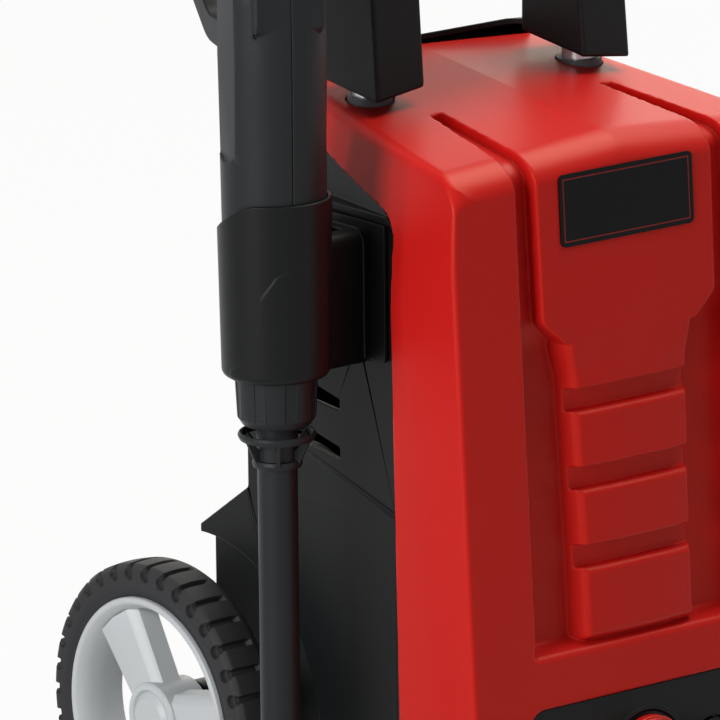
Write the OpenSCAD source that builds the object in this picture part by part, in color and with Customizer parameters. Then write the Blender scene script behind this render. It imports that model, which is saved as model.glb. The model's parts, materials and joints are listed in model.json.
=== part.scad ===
/* [Body] */
// Width of the front cover
body_w = 222; // [200:1:250]
// Height of the cover's top at the front edge
top_z = 411; // [400:1:430]
// Backward lean of the front face, in degrees
lean = 3.5; // [2:0.5:5]
// Depth from the front face to the back of the upper housing
body_d = 180; // [170:1:200]
// Extra depth of the lower housing that carries the axle
flare_d = 42; // [36:1:50]
// Wall thickness of both housing halves
wall = 3; // [2:0.2:4]
// Set-back of the rear housing's sides behind the front cover's
side_step = 4; // [2:0.5:6]
// Rise of the top from front to back, in degrees
top_slope = 7; // [4:0.5:9]

/* [Front panel] */
// Distance from the centre to the inner edge of a side pillar
pillar_x = 70; // [64:1:76]
// Half width of the centre panel beside the label
panel_x = 56; // [50:1:60]
// Half width of the ribbed part of the centre panel
slab_x = 42; // [36:1:46]
// Depth of the recess round the ribs
recess_depth = 13; // [8:0.5:15]
// Depth of the grooves between the ribs
rib_groove = 7; // [4:0.5:8]
// Distance from one rib to the next
rib_pitch = 40; // [36:1:42]
// Height of a groove between ribs
rib_gap = 11.5; // [8:0.5:14]
// Width of the label plate
label_w = 86; // [70:1:92]
// Height of the label plate
label_h = 36.5; // [30:0.5:40]

/* [Wheels] */
// Outside diameter of a tyre
tyre_d = 164; // [150:1:180]
// Width of a tyre
tyre_w = 29; // [24:1:34]
// Outside diameter of the rim
rim_d = 130; // [120:1:134]
// Number of tread lugs
lugs = 36; // [24:1:44]
// Diameter of the axle
axle_d = 12; // [10:0.5:14]
// Distance between the outer faces of the tyres
track_w = 284; // [276:1:300]

/* [Handle] */
// Distance between the handle's two tubes
tube_pitch = 136; // [130:1:142]
// Outside diameter of a handle tube
tube_d = 18; // [16:0.5:20]
// Height of the grip above the cover
grip_h = 112; // [90:1:130]
// Length that the handle pulls out
handle_travel = 260; // [200:5:270]

/* [Gun and lance] */
// Distance of the gun's axis from the centre plane
gun_x = 165; // [160:1:172]
// Distance of the gun's axis behind the front face
gun_depth = 74; // [70:1:84]
// Outside diameter of the gun's barrel
barrel_d = 52; // [48:0.5:53]
// Outside diameter of the holder's sleeve at its top
sleeve_d = 58; // [56:0.5:64]
// Height of the sleeve's lower rim above the ground
sleeve_z = 298; // [290:1:310]
// Height of the sleeve at its front
sleeve_h = 88; // [70:1:96]
// Outside diameter of the lance tube
lance_d = 20; // [16:0.5:22]
// Height of the lance's tip above the ground
lance_tip_z = 34; // [25:1:60]

/* [Motor and pump] */
// Outside diameter of the motor's stator
stator_d = 100; // [90:1:104]
// Outside diameter of the rotor core
rotor_d = 54; // [48:1:56]
// Diameter of the motor shaft
shaft_d = 12; // [10:0.5:14]
// Diameter of a pump piston
piston_d = 14; // [12:0.5:16]
// Distance of the motor's axis behind the front face
motor_depth = 92; // [88:1:96]

/* [Hidden] */
$fn = 64;
eps = 0.05;
clear = 0.3;            // gap between pieces that only lie side by side
run = 0.08;             // radial clearance of a running fit
origin_back = 20;       // the front foot's centre lies this far behind the front face
lean_z = 340;           // height at which depths are measured
floor_z = 30;           // underside of the housing
front_y = -origin_back;
half_w = body_w / 2;
rear_x = half_w - side_step;
big = 900;

// ---- helpers ---------------------------------------------------------------

// distance behind the front face as a Y coordinate
function back(d) = front_y + d;

// Y coordinate of the leaning front face at height z
function face_y(z) = front_y + (z - lean_z) * tan(lean);

// height of the cover's crest line at a distance d behind the front face
function crest_z(d) = top_z + (d - 15) * tan(top_slope);

function unit(v) = v / norm(v);

// moves each edge of a counter-clockwise polygon inward by t
function inset(pts, t) = [for (i = [0:len(pts) - 1])
    let (p = pts[i], q = pts[(i + 1) % len(pts)], o = pts[(i + len(pts) - 1) % len(pts)],
         u = unit(p - o), v = unit(q - p),
         n1 = [-u[1], u[0]], n2 = [-v[1], v[0]])
    p + t * (n1 + n2) / (1 + n1 * n2)];

// rounds each corner of a polygon with its own radius
function rounded(pts, radii, n = 8) = [for (i = [0:len(pts) - 1])
    let (p = pts[i], q = pts[(i + 1) % len(pts)], o = pts[(i + len(pts) - 1) % len(pts)],
         u = unit(o - p), v = unit(q - p), r = radii[i],
         h = acos(u * v) / 2, m = unit(u + v), c = p + m * r / sin(h),
         t = r / tan(h), s = p + u * t - c, e = p + v * t - c,
         a0 = atan2(s[1], s[0]), da = atan2(e[1], e[0]) - a0,
         d = da > 180 ? da - 360 : da < -180 ? da + 360 : da)
    each r < eps ? [p] : [for (k = [0:n]) c + r * [cos(a0 + d * k / n), sin(a0 + d * k / n)]]];

// extrudes a (y, z) outline along X, centred
module along_x(w) rotate([90, 0, 90]) linear_extrude(w, center = true) children();

// extrudes an (x, z) outline along Y, from y0 to y1
module along_y(y0, y1) translate([0, y1, 0]) rotate([90, 0, 0]) linear_extrude(y1 - y0) children();

// places the leaning face: x right, y inward, z up the face from lean_z
module on_face() translate([0, front_y, lean_z]) rotate([-lean, 0, 0]) children();

module mirrored() { children(); mirror([1, 0, 0]) children(); }

module tube(r_out, r_in, h) difference() {
    cylinder(r = r_out, h = h);
    translate([0, 0, -1]) cylinder(r = r_in, h = h + 2);
}

// ---- housing -----------------------------------------------------------------

cover_bottom = 46;                 // lower edge of the front cover
split_low = 46;                    // depth of the joint between the halves at the bottom
split_high = 52;                   // depth of the joint at its upper corner
shoulder_z = 370;                  // top of the rear housing's side panels
split_slope = 17;                  // rise of the joint along the top, in degrees
cover_back = 168;                  // depth at which the front cover's top ends
flare_z = 177;                     // height at which the lower housing is deepest
rear_z = 206;                      // height at which the flare meets the upper back

// full side outline of the body, counter-clockwise in (y, z)
function body_outline() = [
    [face_y(floor_z), floor_z], [back(body_d + flare_d - 14), floor_z],
    [back(body_d + flare_d), floor_z + 26],
    [back(body_d + flare_d), flare_z], [back(body_d), rear_z],
    [back(body_d), crest_z(body_d)], [back(15), top_z], [face_y(top_z - 9), top_z - 9]];
body_radii = [8, 6, 10, 3, 3, 16, 12, 10];

// cross-section with the crowned top, counter-clockwise in (x, z)
crown_x = 50;
crown_drop = 8;

// the crown rides up the sloping top, so it is a tilted prism
module crown(x, t) translate([0, back(15), top_z]) rotate([top_slope, 0, 0]) translate([0, -120, -top_z])
    along_y(0, 400) polygon(inset([[-x, -80], [x, -80], [x, top_z - crown_drop], [crown_x, top_z],
        [-crown_x, top_z], [-x, top_z - crown_drop]], t));

// plane that slopes the cover's shoulders inward towards the back
module shoulder_cut(t, z0 = 0) mirrored() difference() {
    translate([-half_w + t / cos(16), back(5), top_z - 10]) rotate([0, 14.5, 0]) rotate([0, 0, -8.3])
        translate([-80, -100, -300]) cube([80, 420, 500]);
    translate([-big, -big, z0 - big]) cube([2 * big, 2 * big, big]);
}

module body_form(x, t) difference() {
    intersection() {
        along_x(big) polygon(rounded(inset(body_outline(), t), [for (r = body_radii) max(r - t, 1)]));
        crown(x, t);
        translate([0, 0, -1]) linear_extrude(big) polygon(rounded(inset([
            [-x, front_y - 30], [x, front_y - 30], [x, back(body_d + flare_d)],
            [-x, back(body_d + flare_d)]], t), [1, 1, 10, 10]));
    }
    children();
}

// outline of the part that belongs to the front cover
function split_z(d) = shoulder_z + (d - split_high) * tan(split_slope);
function cover_outline(gap) = [
    [front_y - 60, cover_bottom], [back(split_low) - gap, cover_bottom],
    [back(split_high) - gap, shoulder_z - 8], [back(split_high + 8) - gap, split_z(split_high + 8) + gap],
    [back(cover_back) - gap, split_z(cover_back) + gap], [back(cover_back) - gap, big], [front_y - 60, big]];

module cover_region(gap) along_x(big) polygon(rounded(cover_outline(gap), [0, 0, 5, 5, 0, 0, 0]));

// front-panel outlines, drawn on the face as (x, height above lean_z)
recess_z0 = -190;
jog_z = -22;
slab_low = -186;
function upper_panel(t) = [
    [-panel_x + t, jog_z], [-slab_x + t, jog_z - 12], [slab_x - t, jog_z - 12],
    [panel_x - t, jog_z], [panel_x + 2 - t, 120], [-panel_x - 2 + t, 120]];
function lower_panel(t) = [
    [-slab_x + 5 + t, slab_low + t], [slab_x - 5 - t, slab_low + t], [slab_x - t, jog_z - 12],
    [-slab_x + t, jog_z - 12]];

// side profile of everything that lies in front of the recess floor
groove_depth = 9;
groove_back = 84;
module floor_profile(t) along_x(2 * pillar_x + 40) polygon([
    [front_y - 60, 0], [face_y(0) + recess_depth + t, 0],
    [face_y(lean_z + jog_z - 14) + recess_depth + t, lean_z + jog_z - 14],
    [face_y(lean_z + jog_z) + groove_depth + t, lean_z + jog_z],
    [face_y(top_z - 20) + groove_depth + t, top_z - 20],
    [back(22) + t, top_z - groove_depth + 2 - t], [back(groove_back) + t, crest_z(groove_back) - t],
    [back(groove_back) + t, big], [front_y - 60, big]]);

// plan of the recess, with its two grooves that run back over the top
groove_turn = 12;
recess_plan = [[-pillar_x, back(-60)], [pillar_x, back(-60)], [pillar_x, back(groove_turn)],
    [pillar_x - 2, back(groove_turn + 8)], [panel_x + 2, back(groove_back)], [panel_x - 6, back(groove_back)],
    [panel_x + 1, back(groove_turn)], [-panel_x - 1, back(groove_turn)], [-panel_x + 6, back(groove_back)],
    [-panel_x - 2, back(groove_back)], [-pillar_x + 2, back(groove_turn + 8)], [-pillar_x, back(groove_turn)]];

module recess(t) intersection() {
    floor_profile(t);
    on_face() translate([-big, -big / 2, recess_z0 - t]) cube([2 * big, big, big]);
    linear_extrude(big) polygon(inset(recess_plan, -t));
}

// drafted centre panel with its chamfered edges
chamfer = 4.5;
draft = 3;
module panel_form(t) {
    hull() {
        on_face() rotate([90, 0, 0]) translate([0, 0, -t - eps]) linear_extrude(eps) polygon(upper_panel(t));
        on_face() rotate([90, 0, 0]) translate([0, 0, -40]) linear_extrude(eps) polygon(upper_panel(t - 1));
    }
    intersection() {
        union() {
            hull() {
                on_face() rotate([90, 0, 0]) translate([0, 0, -t - eps]) linear_extrude(eps)
                    polygon(lower_panel(t));
                on_face() rotate([90, 0, 0]) translate([0, 0, -chamfer - t]) linear_extrude(eps)
                    polygon(lower_panel(t - chamfer));
            }
            hull() {
                on_face() rotate([90, 0, 0]) translate([0, 0, -chamfer - t]) linear_extrude(eps)
                    polygon(lower_panel(t - chamfer));
                on_face() rotate([90, 0, 0]) translate([0, 0, -40]) linear_extrude(eps)
                    polygon(lower_panel(t - chamfer - draft));
            }
        }
        // bowed front
        on_face() translate([0, bow_r - 0.5 + t, -400]) cylinder(r = bow_r, h = 600, $fn = 256);
    }
}
bow_r = 420;

module rib_grooves(t) for (i = [0:2])
    on_face() translate([-slab_x - 20, -20, jog_z - 36 - rib_gap - i * rib_pitch - t])
        cube([2 * slab_x + 40, 20 + rib_groove + t, rib_gap + 2 * t]);

// screw posts that hold the two housing halves together, as [inset from the side, height]
post_r = 5;
screw_r = 2;
panel_in = 4.5;                     // depth of the sunk lower side panels
screw_posts = [[wall + panel_in + post_r + clear, 70], [wall + post_r + clear, 330]];
post_gap_depth = split_low + 6;      // where the cover's posts meet the housing's

module at_screw_post(p) mirrored() translate([-rear_x + p[0], back(post_gap_depth), p[1]])
    rotate([-90, 0, 0]) children();
module at_screw_posts() for (p = screw_posts) at_screw_post(p) children();

module front_cover() color("firebrick") {
    difference() {
        intersection() {
            body_form(half_w, 0) shoulder_cut(0);
            cover_region(0);
        }
        // hollow
        intersection() {
            difference() {
                body_form(half_w, wall) shoulder_cut(wall);
                difference() { recess(wall); panel_form(wall); }
                rib_grooves(wall);
            }
            translate([-big, face_y(0), cover_bottom + wall]) cube([2 * big, big, big]);
        }
        difference() { recess(0); panel_form(0); }
        rib_grooves(0);
        fascia_window(clear);
        handle_holes();
    }
    // screw posts, each with a rib to the side wall
    for (p = screw_posts) at_screw_post(p) difference() {
        translate([0, 0, -32]) {
            cylinder(r = post_r, h = 32 - clear);
            translate([-p[0] - side_step + 1, -1.5, 0]) cube([p[0] + side_step - 1, 3, 20]);
        }
        translate([0, 0, -14]) cylinder(r = screw_r, h = 20);
    }
}

// window in the cover's foot for the connection panel
fascia_w = 150;
fascia_top = 124;
module fascia_window(gap) along_y(front_y - 60, back(30))
    polygon(rounded([[-fascia_w / 2 - gap, 0], [fascia_w / 2 + gap, 0], [fascia_w / 2 + gap, fascia_top + gap],
        [-fascia_w / 2 - gap, fascia_top + gap]], [0, 0, 10, 10]));

// ---- handle --------------------------------------------------------------------
tube_x = tube_pitch / 2;
tube_depth = 120;
tube_y = back(tube_depth);
tube_t = 1.5;
bush_r = tube_d / 2 + 1.4;
bush_h = 16;
guide_top = crest_z(tube_depth) - crown_drop;
stop_h = 20;                         // height of the guides' narrow upper part, which stops the bushes
tube_low = guide_top - stop_h - clear - handle_travel;   // lower end of the tubes, handle down
guide_r = bush_r + run + 1.2;
leg_w = 31;
leg_front = 92;
leg_back = 150;
grip_top = crest_z(tube_depth) + grip_h;

module handle_holes() mirrored() translate([tube_x, tube_y, 300]) cylinder(r = guide_r + clear, h = 300);

// ---- rear housing ------------------------------------------------------------
axle_z = tyre_d / 2;
axle_in_housing = 8;                 // distance of the axle in front of the housing's back
axle_depth = body_d + flare_d - axle_in_housing;
axle_y = back(axle_depth);
arch_r = tyre_d / 2 + 10;           // wheel arch in the housing's side
arch_x = 92;                        // half width between the arches
ledge_front = 54;                   // depth at which the sunk panels start
ledge_z = 219;                      // height of the ledge at its front end
ledge_slope = 15;
slot_z = 238;                       // lower front corner of the lowest air slot
slot_pitch = 25;
slot_front = 98;
slot_len = 54;
bracket_low = 150;                   // heights of the brackets that hold the handle's guides
bracket_high = slot_z + 2 * slot_pitch + 12;
hook_drop = 35.3;                    // distance of the hook's pivot below the crest
hook_top_z = crest_z(body_d) - hook_drop;
hook_low_z = 230;
hook_pin_r = 7;
gland_x = 62;
gland_z = 222;
gland_r = 9;

function ledge_at(d) = ledge_z + (d - ledge_front) * tan(ledge_slope);

module sunk_panel() mirrored() hull() {
    translate([-rear_x - 1, 0, 0]) rotate([90, 0, 90]) linear_extrude(1 + eps) polygon([
        [back(ledge_front), 58], [back(260), 58], [back(260), ledge_at(260)],
        [back(ledge_front), ledge_z]]);
    translate([-rear_x + panel_in - eps, 0, 0]) rotate([90, 0, 90]) linear_extrude(eps) polygon([
        [back(ledge_front + 1), 62], [back(260), 62], [back(260), ledge_at(260) - 2],
        [back(ledge_front + 1), ledge_z - 7]]);
}

// space above the ledge, where the housing keeps its full inner width
module above_ledge() along_x(big) polygon([
    [back(-60), ledge_at(-60) + wall], [back(300), ledge_at(300) + wall], [back(300), big],
    [back(-60), big]]);

module air_slots() for (i = [0:2]) along_x(big) polygon([
    [back(slot_front), slot_z + i * slot_pitch],
    [back(slot_front + slot_len), slot_z + i * slot_pitch + slot_len * tan(5)],
    [back(slot_front + slot_len), slot_z + i * slot_pitch + 6 + slot_len * tan(11.5)],
    [back(slot_front), slot_z + i * slot_pitch + 6]]);

// louvres in the back wall
module louvres() for (i = [0:5]) for (s = [-1, 1])
    translate([s * 48 - 28, back(body_d - 10), 262 + i * 17]) cube([56, 20, 7]);

module axle_boss() translate([1 - wheel_x, axle_y, axle_z]) rotate([0, 90, 0])
    cylinder(r = 15, h = 2 * (wheel_x - 1));

module guide_brackets() mirrored() for (b = [[bracket_low, body_d + flare_d], [bracket_high, body_d]])
    difference() {
    union() {
        translate([tube_x, tube_y, b[0]]) cylinder(r = guide_r + clear + 2.5, h = 10);
        translate([tube_x - 3, tube_y + guide_r, b[0]])
            cube([6, back(b[1]) - wall - tube_y - guide_r + 1, 10]);
    }
    translate([tube_x, tube_y, b[0] - 1]) cylinder(r = guide_r + clear / 2, h = 12);
}

module posts() for (x = [-34, 34]) for (d = [64, 120])
    translate([x, back(d), floor_z + 1]) cylinder(r = 8, h = pump_z - floor_z - 1);

module guide_feet() mirrored() translate([tube_x, tube_y, floor_z + 1]) difference() {
    cylinder(r = guide_r + 3, h = 16);
    translate([0, 0, wall + 3]) cylinder(r = guide_r + clear / 2, h = 20);
}

module housing_solid(x, t) difference() {
    body_form(x, t) shoulder_cut(t + side_step + 1, shoulder_z);
    cover_region(-clear);
}

module rear_housing() color("dimgray") difference() {
    union() {
        difference() {
            housing_solid(rear_x, 0);
            // hollow
            intersection() {
                body_form(rear_x, wall) shoulder_cut(wall + side_step + 1, shoulder_z - wall);
                union() {
                    above_ledge();
                    translate([-rear_x + panel_in + wall, -big, 0])
                        cube([2 * (rear_x - panel_in - wall), 2 * big, big]);
                }
                difference() {
                    translate([-big, -big, 0]) cube([2 * big, 2 * big, big]);
                    mirrored() translate([-big, axle_y, axle_z]) rotate([0, 90, 0])
                        cylinder(r = arch_r + wall, h = big - arch_x + wall);
                }
            }
            sunk_panel();
            mirrored() translate([-big, axle_y, axle_z]) rotate([0, 90, 0])
                cylinder(r = arch_r, h = big - arch_x);
        }
        axle_boss();
        posts();
        guide_feet();
        guide_brackets();
        for (p = screw_posts) at_screw_post(p) {
            cylinder(r = post_r, h = 14);
            translate([-p[0] + 1, -1.5, 0]) cube([p[0] - 1, 3, 14]);
        }
    }
    at_screw_posts() translate([0, 0, -1]) cylinder(r = screw_r + clear / 2, h = 30);
    air_slots();
    louvres();
    translate([-120, axle_y, axle_z]) rotate([0, 90, 0]) cylinder(d = axle_d + 2 * run, h = 240);
    translate([0, back(body_d - 20), hook_top_z]) rotate([-90, 0, 0])
        cylinder(r = hook_pin_r + run, h = 40);
    translate([gland_x, back(body_d - 20), gland_z]) rotate([-90, 0, 0])
        cylinder(r = gland_r + clear / 2, h = 60);
    holder_holes();
}

// ---- connection panel ----------------------------------------------------------
port_x = 44;
port_z = 84;
port_r = 15;
knob_z = 88;
knob_r = 21;
knob_shaft_r = 5;
fascia_set = 1.5;                    // the panel lies this far inside the cover's face
fascia_t = 2.5;

module fascia_holes() {
    for (s = [-1, 1]) translate([s * port_x, front_y - 60, port_z]) rotate([-90, 0, 0])
        cylinder(r = port_r + 1, h = 100);
    on_face() translate([0, -20, knob_z - lean_z]) rotate([-90, 0, 0])
        cylinder(r = knob_shaft_r + clear, h = 60);
}

module face_slab(d0, d1) on_face() translate([-150, d0, -lean_z - 20]) cube([300, d1 - d0, 300]);

module front_fascia() color([0.12, 0.12, 0.13]) difference() {
    union() {
        intersection() {
            along_y(front_y - 60, back(30)) polygon(rounded([
                [-fascia_w / 2, cover_bottom + clear], [fascia_w / 2, cover_bottom + clear],
                [fascia_w / 2, fascia_top], [-fascia_w / 2, fascia_top]], [2, 2, 10, 10]));
            face_slab(fascia_set, wall + 2 * clear + fascia_t);
        }
        intersection() {
            along_y(front_y - 60, back(30)) polygon(rounded([
                [-fascia_w / 2 - 6, cover_bottom + wall + clear],
                [fascia_w / 2 + 6, cover_bottom + wall + clear],
                [fascia_w / 2 + 6, fascia_top + 6], [-fascia_w / 2 - 6, fascia_top + 6]], [2, 2, 10, 10]));
            face_slab(wall + clear, wall + 2 * clear + fascia_t);
        }
        // ring round the switch
        on_face() translate([0, fascia_set - 1, knob_z - lean_z]) rotate([-90, 0, 0])
            tube(knob_r + 4, knob_r + 2, 2);
    }
    fascia_holes();
}

// ---- label -----------------------------------------------------------------------
label_z = 373;                       // height of the plate's centre
module label_plate() color([0.03, 0.03, 0.03]) on_face() rotate([90, 0, 0])
    translate([0, label_z - lean_z, 0]) linear_extrude(0.8)
        polygon(rounded([[-label_w / 2, -label_h / 2], [label_w / 2, -label_h / 2],
            [label_w / 2, label_h / 2], [-label_w / 2, label_h / 2]], [3, 3, 3, 3]));

// ---- gun holder -------------------------------------------------------------------
gun_y = back(gun_depth);
gun_turn = -16.6;                    // the gun hangs turned by this angle
barrel_r = barrel_d / 2;
sleeve_r = sleeve_d / 2;
sleeve_low_r = sleeve_r - 1.6;
sleeve_round = 4;                    // radius of the sleeve's lower edge
seat_z = sleeve_z + 4;               // shelf inside the sleeve that the gun stands on
seat_r = 21.8;
block_x = 130;                       // outer end of the bracket's block
block_front = 73;
block_back = 108;
block_z = 293;
block_top = 361;
pad_t = 2;

module at_gun() translate([-gun_x, gun_y, 0]) rotate([0, 0, gun_turn]) children();

module holder_holes() for (p = [[84, 305], [84, 348], [98, 326]])
    translate([-rear_x - 10, back(p[0]), p[1]]) rotate([0, 90, 0]) cylinder(r = 2.2, h = 30);

module gun_holder() color([0.16, 0.17, 0.18]) difference() {
    union() {
        translate([-gun_x, gun_y, sleeve_z - 1]) rotate_extrude() polygon(concat([[0, 0]],
            [for (a = [0:15:75]) [sleeve_low_r - sleeve_round * (1 - sin(a)), sleeve_round * (1 - cos(a))]],
            [[sleeve_low_r, sleeve_round], [sleeve_r, sleeve_h + 5], [0, sleeve_h + 5]]));
        // block between sleeve and housing
        along_x_at(-block_x - 24, -rear_x) polygon(rounded([
            [back(block_front), block_z], [back(block_back), block_z], [back(block_back), block_top],
            [back(block_front), block_top]], [3, 3, 3, 5]));
        // foot plate on the housing's side
        along_x_at(-rear_x - pad_t, -rear_x) polygon(rounded([
            [back(57), 286], [back(112), 296], [back(112), 366], [back(57), 366]], [2, 2, 2, 2]));
    }
    // inside of the sleeve, with its shelf
    translate([-gun_x, gun_y, seat_z]) cylinder(r1 = barrel_r + 0.6, r2 = barrel_r + 1, h = sleeve_h + 20);
    translate([-gun_x, gun_y, block_z - 1]) cylinder(r = seat_r, h = 24);
    // flat underside, with the block cut back to the sleeve's outside
    translate([-gun_x, gun_y, block_z - 1]) cylinder(r = sleeve_low_r + 1, h = sleeve_z - block_z + 1);
    // rim that dips towards the outer back
    translate([-gun_x, gun_y, sleeve_z + sleeve_h - 7]) rotate([0, 0, 38]) rotate([0, -16, 0])
        translate([-80, -80, 0]) cube([160, 160, 60]);
    translate([-block_x - 2, back(block_front) + 10, block_top - 6]) cube([16, 8, 10]);
    holder_holes();
    translate([-rear_x - 40, back(block_front + 12), block_z + 8]) cube([20, 16, 44]);
}

module along_x_at(x0, x1) translate([x0, 0, 0]) rotate([90, 0, 90]) linear_extrude(x1 - x0) children();

module holder_screws() color("silver") for (p = [[84, 305], [84, 348], [98, 326]])
    translate([-rear_x + wall + 3, back(p[0]), p[1]]) rotate([0, -90, 0]) cylinder(r = 2, h = wall + 12);

module housing_screws() color("silver") at_screw_posts() {
    translate([0, 0, -13]) cylinder(r = screw_r - eps, h = 27 + eps);
    translate([0, 0, 14]) cylinder(r1 = 4, r2 = 3.4, h = 2.4);
}

// ---- foot and axle ----------------------------------------------------------------
foot_w = 160;
foot_d = 34;
module front_foot() color([0.1, 0.1, 0.1]) along_x(foot_w) polygon(rounded([
    [-foot_d / 2 + 3, 0], [foot_d / 2 - 3, 0], [foot_d / 2, floor_z], [-foot_d / 2, floor_z]], [5, 5, 0, 0]));

axle_in = 6;                         // the axle ends this far inside the tyres' outer faces
clip_t = 1.2;
module axle() color("silver") translate([-track_w / 2 + axle_in, axle_y, axle_z]) rotate([0, 90, 0])
    cylinder(d = axle_d, h = track_w - 2 * axle_in);

module axle_clips() color("gray") mirrored() translate([track_w / 2 - hub_sink + clear, axle_y, axle_z])
    rotate([0, 90, 0]) tube(axle_d / 2 + 4, axle_d / 2, clip_t);

// ---- handle -------------------------------------------------------------------------
module handle_guides() color([0.2, 0.2, 0.2]) mirrored() translate([tube_x, tube_y, 0]) difference() {
    translate([0, 0, floor_z + wall + 4]) cylinder(r = guide_r, h = guide_top - floor_z - wall - 4);
    cylinder(r = bush_r + run, h = guide_top - stop_h);
    cylinder(d = tube_d + 2 * run, h = big);
}

module handle_tubes() color("silver") mirrored() difference() {
    translate([tube_x, tube_y, tube_low]) tube(tube_d / 2, tube_d / 2 - tube_t, grip_top - 40 - tube_low);
    translate([tube_x, tube_y, grip_screw_z]) rotate([-90, 0, 0]) cylinder(r = screw_r + eps, h = tube_d);
}

module tube_bushes() color([0.25, 0.25, 0.25]) mirrored() translate([tube_x, tube_y, tube_low]) union() {
    translate([0, 0, -bush_h]) cylinder(r = bush_r, h = bush_h);
    cylinder(r = tube_d / 2 - tube_t - eps, h = 12);
}

// outline of the grip from the front, with its opening
module grip_front() difference() {
    polygon(rounded([[-tube_x - leg_w / 2, 300], [tube_x + leg_w / 2, 300],
        [tube_x + leg_w / 2 - 3, grip_top], [-tube_x - leg_w / 2 + 3, grip_top]], [0, 0, 30, 30]));
    polygon(rounded([[-tube_x + leg_w / 2, 290], [tube_x - leg_w / 2, 290],
        [tube_x - leg_w / 2 - 2, grip_top - 34], [-tube_x + leg_w / 2 + 2, grip_top - 34]], [0, 0, 16, 16]));
}

module handle_grip() color([0.13, 0.13, 0.14]) difference() {
    intersection() {
        along_y(back(60), back(180)) grip_front();
        along_x(big) polygon(rounded([[back(leg_front - 6), 300], [back(leg_back), 300],
            [back(leg_back - 6), grip_top], [back(leg_front + 14), grip_top]], [0, 0, 14, 14]));
        // the legs' front faces turn outward a little
        linear_extrude(big) polygon([[-120, back(leg_front + 12)], [-tube_x + leg_w / 2, back(leg_front - 6)],
            [tube_x - leg_w / 2, back(leg_front - 6)], [120, back(leg_front + 12)], [120, back(180)],
            [-120, back(180)]]);
    }
    translate([0, 0, clear]) crown(half_w, 0);
    mirrored() translate([tube_x, tube_y, 0]) cylinder(r = tube_d / 2 + eps, h = grip_top - 40 + eps);
    mirrored() grip_screw_hole();
}

grip_screw_z = grip_top - 62;
grip_screw_sink = 10;                // depth of the screw heads' seats
module grip_screw_hole() translate([tube_x, back(leg_back) - grip_screw_sink, grip_screw_z])
    rotate([90, 0, 0]) {
        cylinder(r = screw_r + eps, h = 30);
        translate([0, 0, -20]) cylinder(r = 4.2, h = 20);
    }

module grip_screws() color("silver") mirrored()
    translate([tube_x, back(leg_back) - grip_screw_sink, grip_screw_z]) rotate([90, 0, 0]) {
        cylinder(r = screw_r, h = 15);
        translate([0, 0, -2]) cylinder(r1 = 3.2, r2 = 3.8, h = 2);
    }

// ---- wheels ---------------------------------------------------------------------------
wheel_x = track_w / 2 - tyre_w;      // inner face of a tyre
rim_r = rim_d / 2;
hub_r = 19;
hub_sink = 8;                        // depth of the hub's recess behind the tyre's outer face

module at_wheel() translate([wheel_x, axle_y, axle_z]) rotate([0, 90, 0]) children();

module rim() difference() {
    union() {
        rotate_extrude() polygon([[rim_r - 10, 2], [rim_r - 4, 2], [rim_r - 4, 6], [rim_r - 6, 8],
            [rim_r - 6, tyre_w - 7], [rim_r - 1, tyre_w - 3], [rim_r - 1, tyre_w - 0.5],
            [rim_r - 3, tyre_w + 0.5], [rim_r - 8, tyre_w - 1], [rim_r - 11, tyre_w - 4]]);
        cylinder(r = hub_r, h = tyre_w - 2);
        for (a = [0:120:240]) rotate([0, 0, a + 144]) {
            translate([0, 0, tyre_w - 9]) linear_extrude(4.5) polygon([[8, -9], [8, 9], [rim_r - 9, 13],
                [rim_r - 9, -13]]);
            translate([0, 0, 9.5]) linear_extrude(tyre_w - 18.2) polygon([[8, -13], [8, 13], [rim_r - 9, 17],
                [rim_r - 9, -17]]);
        }
    }
    translate([0, 0, -1]) cylinder(d = axle_d + 2 * run, h = tyre_w);
    translate([0, 0, tyre_w - hub_sink]) cylinder(r = hub_r - 5, h = 20);
}

tyre_side = tyre_d / 2 - rim_r;      // height of the tyre's side above the rim
tread_depth = 2.6;
tread_w = 3.4;                       // width of a groove between two lugs
module tyre() difference() {
    rotate_extrude() polygon([[rim_r - 5.7, 8.2], [rim_r - 3.7, 6.2], [rim_r + 0.24 * tyre_side, 3],
        [rim_r + 0.65 * tyre_side, 2], [tyre_d / 2 - 3, 4], [tyre_d / 2, 8], [tyre_d / 2, tyre_w - 6],
        [tyre_d / 2 - 2, tyre_w - 2], [rim_r + 0.7 * tyre_side, tyre_w], [rim_r + 0.35 * tyre_side, tyre_w],
        [rim_r - 0.7, tyre_w - 1.8], [rim_r - 0.7, tyre_w - 3.2], [rim_r - 5.7, tyre_w - 7.2]]);
    for (a = [0:360 / lugs:359]) rotate([0, 0, a]) {
        translate([tyre_d / 2 - tread_depth, -tread_w / 2, tyre_w * 0.3]) cube([6, tread_w, tyre_w]);
        translate([rim_r + 0.53 * tyre_side, -tread_w / 2, tyre_w - 2.4]) cube([10, tread_w, 6]);
    }
}

module hub_cap() difference() {
    union() {
        translate([0, 0, tyre_w - hub_sink + 2]) cylinder(r = hub_r - 5 - eps, h = 5);
        translate([0, 0, tyre_w - 2]) cylinder(r1 = hub_r - 4, r2 = hub_r - 8, h = 3);
    }
    translate([0, 0, tyre_w - hub_sink]) cylinder(r = hub_r - 8, h = 5);
}

module wheel_rim_left() color("silver") mirror([1, 0, 0]) at_wheel() rim();
module wheel_rim_right() color("silver") at_wheel() rim();
module tyre_left() color([0.15, 0.15, 0.15]) mirror([1, 0, 0]) at_wheel() tyre();
module tyre_right() color([0.15, 0.15, 0.15]) at_wheel() tyre();
module hub_cap_left() color([0.6, 0.6, 0.62]) mirror([1, 0, 0]) at_wheel() hub_cap();
module hub_cap_right() color([0.6, 0.6, 0.62]) at_wheel() hub_cap();

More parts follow.
